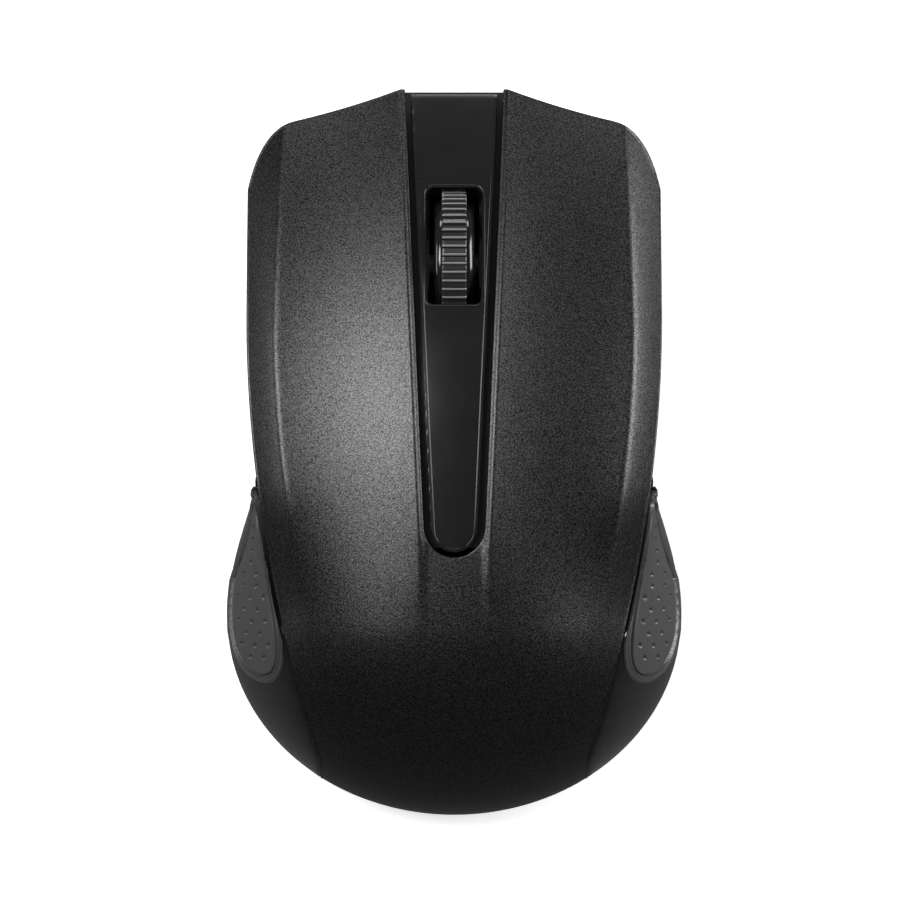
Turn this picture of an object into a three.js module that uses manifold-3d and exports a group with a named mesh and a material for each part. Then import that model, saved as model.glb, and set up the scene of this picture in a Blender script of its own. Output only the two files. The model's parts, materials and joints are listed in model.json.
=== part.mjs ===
// Wireless computer mouse: a flexing two-button top shell over a flared gloss body, with a
// sprung scroll wheel, three micro-switches, two AAA cells and a stowed USB receiver.
// Millimetres. +X right, +Y towards the nose, +Z up, origin under the middle of the body.
import * as THREE from 'three';
import { mergeVertices } from 'three/addons/utils/BufferGeometryUtils.js';
import Module from 'manifold-3d';

const wasm = await Module();
wasm.setup();

// ---- Driving dimensions -------------------------------------------------------------------
const LENGTH = 105;
const WIDTH = 66;
const HEIGHT = 38;
const NOSE_Y = LENGTH / 2;
const TAIL_Y = -LENGTH / 2;
const GAP = 0.3;                    // between pieces that touch

const CROWN_Y = -10;                // highest point of the spine
const SPINE_CURVE = 0.0045;         // fall of the spine, per mm squared from the crown
const TAIL_CENTRE_Y = -24;          // centre of the half ellipse that closes the tail
const TAIL_REACH = TAIL_CENTRE_Y - TAIL_Y;
const WIDEST_Z = 8;                 // height of the widest line of the body
const DOME_POWER = 2.3;
const DOME_ROOT = 0.55;

const SHELL_WALL = 1.6;
const SHELL_HALF = 29.7;            // half width of the shell over the buttons
const SHELL_TAPER = 10.3;           // how much narrower the shell is at the tail
const TAPER_START_Y = 20;
const TAPER_END_Y = -44;
const TIP_X = 7.7;                  // tip of each button beside the centre strip
const CORNER_START = [23.1, 47.9];
const CORNER_BEND = [27.9, 46.6];
const SIDE_START_Y = 38;
const SWEEP_DIP = 2.8;              // the nose edge sweeps back in a slight hollow
const BEVEL = 4.1;                  // plan width of the outer bevel
const BEVEL_DROP = 4.5;
const DISH_DROP = 3;                // fall of a button top from the strip to the outer crease
const RIDGE_DROP = 0.5;             // fall of the narrow bevel beside the strip channel
const RIDGE_WIDTH = 0.8;

const SKIRT = [1.8, 4.4];            // upright lip under the bevel at the waist and at the nose
const WAIST_Y = -4;                 // behind it the frame swells out from under the shell

const FLEX_Y = -12;                 // line where the buttons flex off the palm shell
const BUTTON_SAG = 0.016;           // fall of a pressed button, per mm from the flex line
const FRAME_TUCK = 1.5;             // height of the frame's rim inside the shell's lip
const FRAME_STEP = 3;               // overhang of the shell over the frame at the nose
const FRAME_WALL = 2.6;
const WAIST_HALF = 26;
const WAIST_SWELL = 3.5;
const WAIST_LENGTH = 34;
const SHELL_TAIL_Y = -45.8;         // behind this line the shell reaches down to the floor
const LEDGE = 2.5;                  // ledge of the frame under the shell edge

const FOOT = 0.8;
const FLOOR_TOP = 3;
const FRAME_BOTTOM = FLOOR_TOP + GAP;

const GRIP = { tipX: -28.4, y1: -5, sink: 1.3 };

const CHANNEL_END_Y = -14.8;
const CHANNEL_HALF = [4.1, 7.1];    // half width at the rear end and at the nose
const STRIP_END_Y = -14;
const STRIP_HALF = [3.1, 6.2];
const STRIP_NOSE_Y = 51.9;
const STRIP_THICK = 2.2;
const APRON_BOTTOM = 8;             // the strip's nose face comes down in front of the frame
const FLANGE_HALF_EXTRA = 2.3;      // how far the strip's hidden flange reaches under the buttons
const FLANGE_DEPTH = [3.1, 4.3];
const FLANGE_NOSE_Y = 50;            // clear of the buttons' nose walls, which swing back a little

const WHEEL_R = 10.9;
const WHEEL_Y = 27.1;
const WHEEL_Z = 23;
const TREAD_W = 3.6;
const HUB_W = 6;
const HUB_R = 9.5;
const RIBS = 54;
const AXLE_R = 1.5;
const AXLE_CLEAR = 0.1;
const CARRIER_Y = [14, 39.5];
const WINDOW = { y0: 21.3, y1: 38.1, half: 4, corner: 1 };

const BOARD = { x: 22, y0: 3.8, y1: 40.9, z: 8, thick: 1.6 };
const BOARD_TOP = BOARD.z + BOARD.thick;
const SWITCH = { x: 15, y: 33, width: 5.8, length: 12.8, height: 6.5 };
const PLUNGER = { y: 36, r: 1.1, height: 0.9 };
const WHEEL_SWITCH = { x: 10.6, y: 18.5 };
const WHEEL_PLUNGER_Y = 21.5;

const SENSOR_Y = 8.2;
const CELL = { r: 5.25, length: 44.5, x: 5.7, leftY0: -43.8, rightY0: -45.6, z: 9.2 };
const BAY = { half: 12.4, y0: -47, y1: 2.2, wall: 1.2, top: 7.6 };
const COVER = { half: 13.6, y0: -52, y1: 2.6, thick: 1.3 };
const POCKET = { x0: 6.6, x1: 21.6, y0: 16.4, y1: 36.2, roof: 6.7, wall: 1 };
const RECEIVER = { width: 14.2, cap: 6.6, length: 18.8, plug: 12, plugThick: 4.5, thick: 5.2 };
const POWER = { x: -14, y: 20, travel: 2.5 };

const CASE_SCREWS = [[-19.5, -22], [19.5, -22], [0, 44]];
const BOARD_SCREWS = [[-18.5, 7.5], [18.5, 7.5]];
const BOSS_R = 2.7;
const BOSS_HOLE_TOP = 13;
const SCREW_R = 1.1;
const HEAD_R = 2.2;

// ---- Materials ----------------------------------------------------------------------------
function material(color, roughness, metalness = 0) {
  return new THREE.MeshStandardMaterial({ color, roughness, metalness });
}

const shellPaint = material(0x4a4b4e, 0.5, 0.35);
const glossBlack = material(0x0c0c0d, 0.12);
const satinBlack = material(0x141415, 0.3);
const matteBlack = material(0x1a1a1b, 0.7);
const rubberBlack = material(0x222223, 0.85);
const steel = material(0xb8babd, 0.3, 1);
const brightTin = material(0xc9c9c4, 0.35, 1);
const boardGreen = material(0x1f5a38, 0.5);
const chipBlack = material(0x101011, 0.6);
const clearLens = material(0xdfe6ea, 0.05);
const ledRed = material(0xb3261e, 0.2);
const switchWhite = material(0xe4e2da, 0.5);
const nylonGrey = material(0x85878a, 0.6);
const slickGrey = material(0x3b3b3d, 0.4);
const cellWrap = material(0x2e6f4a, 0.35, 0.3);

// ---- Solids -------------------------------------------------------------------------------
function solid(geometry) {
  geometry.deleteAttribute('normal');
  geometry.deleteAttribute('uv');
  const merged = mergeVertices(geometry, 1e-5);
  const vertProperties = new Float32Array(merged.attributes.position.array);
  const triVerts = new Uint32Array(merged.index.array);
  return new wasm.Manifold(new wasm.Mesh({ numProp: 3, vertProperties, triVerts }));
}

function part(name, body, paint) {
  const data = body.getMesh();
  const geometry = new THREE.BufferGeometry();
  geometry.setAttribute('position', new THREE.BufferAttribute(data.vertProperties, 3));
  geometry.setIndex(new THREE.BufferAttribute(data.triVerts, 1));
  geometry.computeVertexNormals();
  const mesh = new THREE.Mesh(geometry, paint);
  mesh.name = name;
  return mesh;
}

// A block between two corners.
function block(x0, x1, y0, y1, z0, z1) {
  const geometry = new THREE.BoxGeometry(x1 - x0, y1 - y0, z1 - z0);
  geometry.translate((x0 + x1) / 2, (y0 + y1) / 2, (z0 + z1) / 2);
  return solid(geometry);
}

// An upright prism of a plan shape.
function prism(shape, z0, z1, curveSegments = 6) {
  const geometry = new THREE.ExtrudeGeometry(shape, {
    depth: z1 - z0, bevelEnabled: false, curveSegments,
  });
  geometry.translate(0, 0, z0);
  return solid(geometry);
}

// An upright cylinder.
function post(x, y, r, z0, z1, sides = 20) {
  const geometry = new THREE.CylinderGeometry(r, r, z1 - z0, sides);
  geometry.rotateX(Math.PI / 2);
  geometry.translate(x, y, (z0 + z1) / 2);
  return solid(geometry);
}

// A solid of revolution about +X through the wheel centre; the profile is [radius, x] points.
function wheelTurned(profile, sides = 30) {
  const points = profile.map(([r, x]) => new THREE.Vector2(r, x));
  const geometry = new THREE.LatheGeometry(points, sides);
  geometry.rotateZ(-Math.PI / 2);
  geometry.translate(0, WHEEL_Y, WHEEL_Z);
  return solid(geometry);
}

function roundedRectangle(x0, x1, y0, y1, r) {
  const shape = new THREE.Shape();
  shape.moveTo(x0 + r, y0);
  shape.lineTo(x1 - r, y0);
  shape.absarc(x1 - r, y0 + r, r, -Math.PI / 2, 0);
  shape.lineTo(x1, y1 - r);
  shape.absarc(x1 - r, y1 - r, r, 0, Math.PI / 2);
  shape.lineTo(x0 + r, y1);
  shape.absarc(x0 + r, y1 - r, r, Math.PI / 2, Math.PI);
  shape.lineTo(x0, y0 + r);
  shape.absarc(x0 + r, y0 + r, r, Math.PI, Math.PI * 1.5);
  return shape;
}

// ---- Outer form ---------------------------------------------------------------------------
const mix = THREE.MathUtils.lerp;
const ramp = THREE.MathUtils.smoothstep;

function spine(y) {
  return HEIGHT - SPINE_CURVE * (y - CROWN_Y) ** 2;
}

// Half width of the shell, from the straight button sides back to the tail.
function shellHalf(y) {
  const t = THREE.MathUtils.clamp((TAPER_START_Y - y) / (TAPER_START_Y - TAPER_END_Y), 0, 1);
  return SHELL_HALF - SHELL_TAPER * t ** 1.9;
}

// Half width of the gloss frame: a waist under the buttons, a swell at the grips, a round tail.
function frameHalf(y) {
  if (y < TAIL_CENTRE_Y) {
    return (WIDTH / 2) * Math.sqrt(Math.max(0, 1 - ((TAIL_CENTRE_Y - y) / TAIL_REACH) ** 2));
  }
  const t = Math.min(1, (y - TAIL_CENTRE_Y) / WAIST_LENGTH);
  return WAIST_HALF + WAIST_SWELL * (1 + Math.cos(Math.PI * t));
}

function channelHalf(y) {
  return mix(CHANNEL_HALF[0], CHANNEL_HALF[1], (y - CHANNEL_END_Y) / (NOSE_Y - CHANNEL_END_Y));
}

function stripHalf(y) {
  return mix(STRIP_HALF[0], STRIP_HALF[1], (y - STRIP_END_Y) / (NOSE_Y - STRIP_END_Y));
}

// Rear form: one dome over the half-ellipse tail.
function dome(x, y) {
  const back = Math.max(0, TAIL_CENTRE_Y - y) / TAIL_REACH;
  const reach = Math.min(1, Math.hypot(x / (WIDTH / 2), back));
  return WIDEST_Z + (spine(y) - WIDEST_Z) * (1 - reach ** DOME_POWER) ** DOME_ROOT;
}

// Front form: button tops dished from the strip ridge to the outer crease, then a bevel.
function buttonTop(x, y) {
  const edge = shellHalf(y);
  const crease = edge - BEVEL;
  const ridge = channelHalf(y) + RIDGE_WIDTH;
  const across = Math.abs(x);
  const dish = THREE.MathUtils.clamp((across - ridge) / (crease - ridge), 0, 1);
  const bevel = Math.max(0, across - crease) / BEVEL;
  const inner = THREE.MathUtils.clamp((ridge - across) / RIDGE_WIDTH, 0, 1);
  return spine(y) - DISH_DROP * (1 - (1 - dish) ** 2) - BEVEL_DROP * bevel ** 1.3 - RIDGE_DROP * inner;
}

function shellTop(x, y) {
  return mix(dome(x, y), buttonTop(x, y), ramp(y, -30, -4));
}

// Lower edge of the shell in side view.
function shellEdge(y) {
  if (y < SHELL_TAIL_Y) {
    return FRAME_BOTTOM;
  }
  const skirt = SKIRT[0] + (SKIRT[1] - SKIRT[0]) * Math.max(0, (y - WAIST_Y) / (NOSE_Y - WAIST_Y));
  return shellTop(shellHalf(y), y) - skirt;
}

// Outer side of the frame: it flares from the shell edge out to the widest line.
function frameTop(x, y, inset = 0) {
  const from = shellHalf(y);
  const to = frameHalf(y);
  const sag = GAP + BUTTON_SAG * Math.max(0, y - FLEX_Y);
  const ledge = shellEdge(y) + mix(-sag, FRAME_TUCK, ramp(y, 3, 8));
  const across = Math.abs(x) + inset;
  if (across < from + GAP || y > 0) {
    return ledge;
  }
  const t = Math.min(1, (across - from) / Math.max(0.5, to - from));
  return WIDEST_Z + (shellTop(from, y) - WIDEST_Z) * (1 - t ** 1.4) ** 0.8;
}

// Everything under a height surface, on a grid whose columns follow the given half widths.
function under(surface, columns, rows, low = -1) {
  const count = columns(0).length;
  const geometry = new THREE.BoxGeometry(2, 2, 2, count * 2, rows.length - 1, 1);
  const place = geometry.attributes.position;
  for (let i = 0; i < place.count; i += 1) {
    const column = Math.round((place.getX(i)) * count);
    const y = rows[Math.round(((place.getY(i) + 1) / 2) * (rows.length - 1))];
    const x = column === 0 ? 0 : Math.sign(column) * columns(y)[Math.abs(column) - 1];
    place.setXYZ(i, x, y, place.getZ(i) > 0 ? surface(x, y) : low);
  }
  return solid(geometry);
}

function spread(from, to, steps) {
  return Array.from({ length: steps + 1 }, (_, i) => mix(from, to, i / steps));
}

// Rows close up towards the steep tail.
function bodyRows() {
  const tail = spread(0, 1, 9).map((t) => TAIL_CENTRE_Y - (TAIL_REACH + 0.5) * Math.sin((t * Math.PI) / 2));
  return [...tail.reverse(), ...spread(-20, 53, 18)];
}

function shellColumns(y) {
  const ridge = channelHalf(Math.max(y, CHANNEL_END_Y)) + RIDGE_WIDTH;
  const crease = shellHalf(y) - BEVEL;
  const top = spread(ridge, crease, 4);
  return [ridge - RIDGE_WIDTH, ...top, crease + BEVEL / 2, crease + BEVEL + 1];
}

// A closed plan shape from the points of its right side, listed from the nose to the tail.
function mirroredPlan(points) {
  const left = points.map(([x, y]) => [-x, y]).reverse().filter(([x]) => x < 0);
  return new THREE.Shape([...points, ...left].map(([x, y]) => new THREE.Vector2(x, y)));
}

// Nose edge from the tip to the straight side, swept back and rounded at the corner.
function noseEdge(inset) {
  const tip = new THREE.Vector2(TIP_X, NOSE_Y - inset);
  const corner = new THREE.Vector2(CORNER_START[0] - inset * 0.6, CORNER_START[1] - inset);
  const bend = new THREE.Vector2(CORNER_BEND[0] - inset, CORNER_BEND[1] - inset);
  const side = new THREE.Vector2(SHELL_HALF - inset, SIDE_START_Y - inset);
  const sweepBend = new THREE.Vector2(TIP_X * 2, NOSE_Y - SWEEP_DIP - inset);
  const sweep = new THREE.QuadraticBezierCurve(tip, sweepBend, corner).getPoints(5);
  const round = new THREE.QuadraticBezierCurve(corner, bend, side).getPoints(9);
  return [...sweep, ...round.slice(1)].map((p) => [p.x, p.y]);
}

// Round tail of the body between a starting line and its rearmost point.
function tailEdge(inset, startY) {
  const reach = TAIL_REACH - inset;
  const start = Math.acos((TAIL_CENTRE_Y - startY) / reach);
  return spread(start, 0, 13).map((angle) => [
    (WIDTH / 2 - inset) * Math.sin(angle),
    TAIL_CENTRE_Y - reach * Math.cos(angle),
  ]);
}

function shellPlan(inset) {
  const sides = spread(SIDE_START_Y - inset, SHELL_TAIL_Y, 16).slice(1);
  return mirroredPlan([
    ...noseEdge(inset),
    ...sides.map((y) => [shellHalf(y) - inset, y]),
    ...tailEdge(inset, SHELL_TAIL_Y - GAP),
  ]);
}

function framePlan(inset) {
  const nose = noseEdge(FRAME_STEP + inset);
  const sides = spread(nose.at(-1)[1] - 2, TAIL_CENTRE_Y, 14);
  return mirroredPlan([
    ...nose,
    ...sides.map((y) => [frameHalf(y) - inset, y]),
    ...tailEdge(inset, TAIL_CENTRE_Y - 2),
  ]);
}

// ---- Top shell: palm shell and two buttons -------------------------------------------------
function makeTopShell() {
  const rows = bodyRows();
  const outer = under(shellTop, shellColumns, rows);
  const inner = under((x, y) => shellTop(x, y) - SHELL_WALL, shellColumns, rows, -2);
  const hollow = inner.intersect(prism(shellPlan(SHELL_WALL), -2, 60));
  const keep = under((x, y) => shellEdge(y), () => [WIDTH], rows, -3);
  const channel = mirroredPlan([
    [CHANNEL_HALF[1], NOSE_Y + 1],
    [CHANNEL_HALF[0], CHANNEL_END_Y + 3],
    [CHANNEL_HALF[0] * 0.8, CHANNEL_END_Y + 1],
    [CHANNEL_HALF[0] * 0.4, CHANNEL_END_Y],
  ]);
  return outer
    .intersect(prism(shellPlan(0), -1, 60))
    .subtract(hollow)
    .subtract(keep)
    .subtract(prism(channel, -4, 60));
}

const topShell = makeTopShell();

function makePalmShell() {
  let palm = topShell.subtract(block(-40, 40, FLEX_Y - GAP / 2, 60, -5, 70));
  const inside = under((x, y) => shellTop(x, y) - SHELL_WALL / 2, shellColumns, bodyRows());
  CASE_SCREWS.slice(0, 2).forEach(([x, y]) => {
    const boss = post(x, y, BOSS_R, FRAME_BOTTOM, HEIGHT)
      .subtract(post(x, y, SCREW_R + 0.15, 0, BOSS_HOLE_TOP, 12));
    palm = palm.add(boss.intersect(inside));
  });
  return part('palm_shell', palm, shellPaint);
}

// side is -1 for the left button and 1 for the right one.
function makeButton(name, side) {
  const half = side < 0 ? block(-40, 0, FLEX_Y + GAP / 2, 60, -5, 70)
    : block(0, 40, FLEX_Y + GAP / 2, 60, -5, 70);
  const x = side * SWITCH.x;
  const foot = BOARD_TOP + GAP + SWITCH.height + PLUNGER.height + GAP;
  const presser = post(x, PLUNGER.y, 1.6, foot, shellTop(x, PLUNGER.y) - SHELL_WALL / 2, 16);
  return part(name, topShell.intersect(half).add(presser), shellPaint);
}

// ---- Centre strip --------------------------------------------------------------------------
function makeCentreStrip() {
  const rows = spread(STRIP_END_Y - 3, 53, 14);
  const columns = (y) => [stripHalf(y) - 0.35, stripHalf(y), stripHalf(y) + 4];
  const top = (x, y) => {
    const edge = Math.max(0, Math.abs(x) - stripHalf(y) + 0.35) / 0.35;
    return spine(y) - 0.25 * (x / stripHalf(y)) ** 2 - 0.25 * Math.min(1, edge);
  };
  const skin = under(top, columns, rows)
    .subtract(under((x, y) => spine(y) - STRIP_THICK, columns, rows, -2));
  const outline = (extra) => mirroredPlan([
    [STRIP_HALF[1] + extra, STRIP_NOSE_Y],
    [STRIP_HALF[0] + extra, STRIP_END_Y + 2.6],
    [(STRIP_HALF[0] + extra) * 0.86, STRIP_END_Y + 1.3],
    [(STRIP_HALF[0] + extra) * 0.5, STRIP_END_Y + 0.3],
    [0, STRIP_END_Y],
  ]);
  // The flange sinks towards the nose, where the buttons travel most.
  const depth = (y, layer) => FLANGE_DEPTH[layer] + BUTTON_SAG * Math.max(0, y - FLEX_Y);
  const flange = under((x, y) => spine(y) - depth(y, 0), columns, rows)
    .subtract(under((x, y) => spine(y) - depth(y, 1), columns, rows, -2))
    .intersect(prism(outline(FLANGE_HALF_EXTRA), 0, 60))
    .subtract(block(-20, 20, FLANGE_NOSE_Y, 60, 0, 60));
  const web = under((x, y) => spine(y) - STRIP_THICK / 2, columns, rows)
    .subtract(under((x, y) => spine(y) - depth(y, 1) + 0.4, columns, rows, -2))
    .intersect(prism(outline(-1.2), 0, 60));
  const [bossX, bossY] = CASE_SCREWS[2];
  const boss = post(bossX, bossY, BOSS_R, FRAME_BOTTOM, spine(bossY) - 3)
    .subtract(post(bossX, bossY, SCREW_R + 0.15, 0, BOSS_HOLE_TOP, 12));
  const apron = under((x, y) => spine(y) - STRIP_THICK / 2, columns, rows)
    .intersect(prism(outline(-0.1), APRON_BOTTOM, 60))
    .subtract(block(-20, 20, -60, STRIP_NOSE_Y - 1.3, 0, 60));
  const window = roundedRectangle(-WINDOW.half, WINDOW.half, WINDOW.y0, WINDOW.y1, WINDOW.corner);
  const wheelRoom = wheelTurned([[0, -3.8], [WHEEL_R + 0.6, -3.8], [WHEEL_R + 0.6, 3.8], [0, 3.8]]);
  const body = skin.intersect(prism(outline(0), 0, 60))
    .add(flange)
    .add(web)
    .add(apron)
    .add(boss)
    .subtract(wheelRoom)
    .subtract(prism(window, 10, 60, 3));
  return part('centre_strip', body, satinBlack);
}

// ---- Side frame and grips ------------------------------------------------------------------
function gripPlan(side, grow) {
  const outline = [
    [GRIP.tipX, GRIP.y1], [-30.4, -10.5], [-31.5, -18], [-31.9, -25], [-31, -30], [-29, -32.3],
    [-26.5, -32.4], [-25.2, -29.5], [-25.1, -24], [-26, -18], [-27.2, -12],
  ];
  const centreX = -28.4;
  const centreY = -20;
  const points = outline.map(([x, y]) => new THREE.Vector2(
    side * -(x + Math.sign(x - centreX) * grow), y + Math.sign(y - centreY) * grow,
  ));
  return new THREE.Shape(side > 0 ? points.reverse() : points);
}

function frameColumns(y) {
  const from = shellHalf(y) + GAP;
  const to = Math.max(frameHalf(y), from + 1);
  const flare = [0, 0.3, 0.55, 0.75, 0.9, 1].map((t) => mix(from, to, t));
  return [from - LEDGE - 0.6, from - LEDGE - 0.5, from - 0.02, ...flare, to + 2];
}

function makeSideFrame() {
  const rows = bodyRows();
  const cavityTop = (x, y) => {
    if (y > 0 || Math.abs(x) < shellHalf(y) + GAP - LEDGE - 0.55) {
      return 60;
    }
    return frameTop(x, y, FRAME_WALL) - 2;
  };
  let frame = under(frameTop, frameColumns, rows)
    .intersect(prism(framePlan(0), FRAME_BOTTOM, 60))
    .subtract(under(cavityTop, frameColumns, rows, -2).intersect(prism(framePlan(FRAME_WALL), -2, 70)))
    .subtract(block(-40, 40, -60, SHELL_TAIL_Y + GAP, -2, 70));
  [-1, 1].forEach((side) => {
    const pocket = prism(gripPlan(side, GAP), 0, 60)
      .subtract(under((x, y) => frameTop(x, y, GRIP.sink + GAP) - GAP, frameColumns, rows, -2));
    frame = frame.subtract(pocket);
  });
  return part('side_frame', frame, glossBlack);
}

function makeGrip(name, side) {
  const rows = bodyRows();
  const grip = under((x, y) => frameTop(x, y), frameColumns, rows)
    .subtract(under((x, y) => frameTop(x, y, GRIP.sink), frameColumns, rows, -2))
    .intersect(prism(gripPlan(side, 0), FRAME_BOTTOM + 2, 60))
    .intersect(prism(framePlan(0), FRAME_BOTTOM, 60));
  return part(name, grip, rubberBlack);
}

// ---- Bottom case, feet and cover -----------------------------------------------------------
function wallRing(x0, x1, y0, y1, wall, z0, z1) {
  return block(x0 - wall, x1 + wall, y0 - wall, y1 + wall, z0, z1)
    .subtract(block(x0, x1, y0, y1, z0 - 1, z1 + 1));
}

function makeBottomCase() {
  let floor = prism(framePlan(1), FOOT, FLOOR_TOP);
  // Battery bay: walls on three sides, open below where the cover slides in from the tail.
  floor = floor
    .subtract(block(-BAY.half, BAY.half, BAY.y0, BAY.y1, 0, 20))
    .subtract(block(-COVER.half - GAP, COVER.half + GAP, -60, COVER.y1 + GAP, 0, FOOT + COVER.thick + GAP))
    .add(wallRing(-BAY.half, BAY.half, BAY.y0, BAY.y1, BAY.wall, FLOOR_TOP - 0.6, BAY.top));
  // Receiver pocket: four walls and a roof, open below.
  const pocket = block(
    POCKET.x0 - POCKET.wall, POCKET.x1 + POCKET.wall,
    POCKET.y0 - POCKET.wall, POCKET.y1 + POCKET.wall,
    FOOT + 0.5, POCKET.roof + POCKET.wall,
  );
  floor = floor
    .add(pocket)
    .subtract(block(POCKET.x0, POCKET.x1, POCKET.y0, POCKET.y1, -1, POCKET.roof));
  // Windows for the sensor and the power switch.
  const sensorWindow = roundedRectangle(-3.5, 3.5, SENSOR_Y - 2.5, SENSOR_Y + 2.5, 1.5);
  floor = floor
    .subtract(prism(sensorWindow, -1, 5, 4))
    .subtract(block(
      POWER.x - 2.3, POWER.x + 2.3,
      POWER.y - POWER.travel - 1.9, POWER.y + 2.2, -1, 5,
    ));
  BOARD_SCREWS.forEach(([x, y]) => {
    floor = floor
      .add(post(x, y, 2.2, FLOOR_TOP - 0.5, BOARD.z - GAP, 16))
      .subtract(post(x, y, 0.85, 4, 9, 10));
  });
  CASE_SCREWS.forEach(([x, y]) => {
    floor = floor
      .subtract(post(x, y, SCREW_R + 0.25, -1, 5, 14))
      .subtract(post(x, y, HEAD_R + 0.3, -1, FOOT + 1.2, 18));
  });
  return part('bottom_case', floor, matteBlack);
}

function makeBatteryCover() {
  const top = FOOT + COVER.thick;
  const tail = prism(framePlan(1), FOOT, top);
  let cover = block(-COVER.half, COVER.half, COVER.y0, COVER.y1, FOOT, top).intersect(tail);
  // Five thumb ridges.
  spread(0, 4, 4).forEach((i) => {
    const y = COVER.y0 + 4 + i * 1.6;
    cover = cover.add(block(-5, 5, y, y + 0.7, 0.4, FOOT + 0.1));
  });
  return part('battery_cover', cover, matteBlack);
}

function makeFrontFoot() {
  const bar = roundedRectangle(-15, 15, 38.6, 41.8, 1.4);
  const pad = prism(bar, 0, FOOT - 0.05, 4).subtract(post(0, CASE_SCREWS[2][1], HEAD_R + 0.8, -1, 5, 18));
  return part('front_foot', pad, slickGrey);
}

function makeRearFoot(name, side) {
  const shape = side > 0
    ? roundedRectangle(16, 20.5, -38, -27, 2)
    : roundedRectangle(-20.5, -16, -38, -27, 2);
  return part(name, prism(shape, 0, FOOT - 0.05, 4), slickGrey);
}

function makeScrew(name, x, y, headZ, upward, r, headR, length) {
  const head = post(x, y, headR, headZ, headZ + 1, 16);
  const shank = upward
    ? post(x, y, r, headZ + 0.9, headZ + length, 12)
    : post(x, y, r, headZ - length, headZ + 0.1, 12);
  const slotZ = upward ? headZ : headZ + 1;
  const cross = block(x - headR * 0.55, x + headR * 0.55, y - 0.2, y + 0.2, slotZ - 0.5, slotZ + 0.5)
    .add(block(x - 0.2, x + 0.2, y - headR * 0.55, y + headR * 0.55, slotZ - 0.5, slotZ + 0.5));
  return part(name, head.add(shank).subtract(cross), steel);
}

function makeScrews() {
  const names = ['case_screw_left', 'case_screw_right', 'case_screw_front'];
  const caseScrews = CASE_SCREWS.map(([x, y], i) => (
    makeScrew(names[i], x, y, FOOT + 0.15, true, SCREW_R, HEAD_R, 9)
  ));
  const boardNames = ['board_screw_left', 'board_screw_right'];
  const boardScrews = BOARD_SCREWS.map(([x, y], i) => (
    makeScrew(boardNames[i], x, y, BOARD_TOP + 0.1, false, 0.7, 1.6, 4.6)
  ));
  return [...caseScrews, ...boardScrews];
}

// ---- Batteries, contacts and receiver ------------------------------------------------------
// A cell lies along Y; its raised button points to the nose or to the tail.
function makeCell(name, side, y0, towardNose) {
  const { r, length } = CELL;
  const profile = [
    [0, 0], [r - 0.4, 0], [r, 0.4], [r, length - 1.6], [r - 0.5, length - 1.1],
    [1.9, length - 1.1], [1.9, length], [0, length],
  ];
  const geometry = new THREE.LatheGeometry(profile.map(([x, y]) => new THREE.Vector2(x, y)), 20);
  if (!towardNose) {
    geometry.rotateZ(Math.PI);
    geometry.translate(0, length, 0);
  }
  geometry.translate(side * CELL.x, y0, CELL.z);
  return part(name, solid(geometry), cellWrap);
}

// A helix of round wire against the flat end of a cell; it tapers like a battery spring.
class Spring extends THREE.Curve {
  constructor(x, y, reach, turns) {
    super();
    Object.assign(this, { x, y, reach, turns });
  }

  getPoint(t, target = new THREE.Vector3()) {
    const angle = t * this.turns * Math.PI * 2;
    const r = mix(3.6, 2, t);
    return target.set(this.x + r * Math.cos(angle), this.y + this.reach * t, CELL.z + r * Math.sin(angle));
  }
}

function springSolid(x, y, reach) {
  const wire = new THREE.Shape().absarc(0, 0, 0.3, 0, Math.PI * 2);
  return solid(new THREE.ExtrudeGeometry(wire, {
    extrudePath: new Spring(x, y, reach, 2.2), steps: 30, curveSegments: 3, bevelEnabled: false,
  }));
}

function makeSpringContact(name, x, plateY, towardNose) {
  const reach = towardNose ? 2.2 : -2.2;
  const start = towardNose ? plateY + 0.45 : plateY - 0.05;
  const plate = block(x - 4.4, x + 4.4, plateY, plateY + 0.4, 4.2, 13.4);
  return part(name, plate.add(springSolid(x, start - Math.sign(reach) * 0.1, reach)), steel);
}

function makePlateContact(name, x, plateY) {
  const bump = Math.sign(plateY + 20) > 0 ? [plateY - 0.5, plateY + 0.1] : [plateY + 0.3, plateY + 0.9];
  const plate = block(x - 4.4, x + 4.4, plateY, plateY + 0.4, 4.2, 13.4)
    .add(block(x - 1.4, x + 1.4, bump[0], bump[1], CELL.z - 1.4, CELL.z + 1.4));
  return part(name, plate, brightTin);
}

function makeReceiverPlug() {
  const x = (POCKET.x0 + POCKET.x1) / 2;
  const y0 = POCKET.y0 + 0.4 + RECEIVER.cap + GAP;
  const y1 = POCKET.y0 + 0.4 + RECEIVER.length - 0.6;
  const z = FOOT + 3;
  const half = RECEIVER.plug / 2;
  const thick = RECEIVER.plugThick / 2;
  const shell = block(x - half, x + half, y0, y1, z - thick, z + thick)
    .subtract(block(x - half + 0.3, x + half - 0.3, y0 + 2, y1 + 1, z - thick + 0.3, z + thick - 0.3))
    .add(block(x - half + 0.2, x + half - 0.2, y0 + 1, y1 - 0.6, z - thick + 0.2, z - 0.1));
  return part('receiver_plug', shell, steel);
}

function makeReceiverCap() {
  const x = (POCKET.x0 + POCKET.x1) / 2;
  const half = RECEIVER.width / 2;
  const y0 = POCKET.y0 + 0.4;
  const shape = roundedRectangle(x - half, x + half, y0, y0 + RECEIVER.cap, 1.5);
  return part('receiver_cap', prism(shape, FOOT + 0.2, FOOT + 0.2 + RECEIVER.thick, 4), satinBlack);
}

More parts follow.
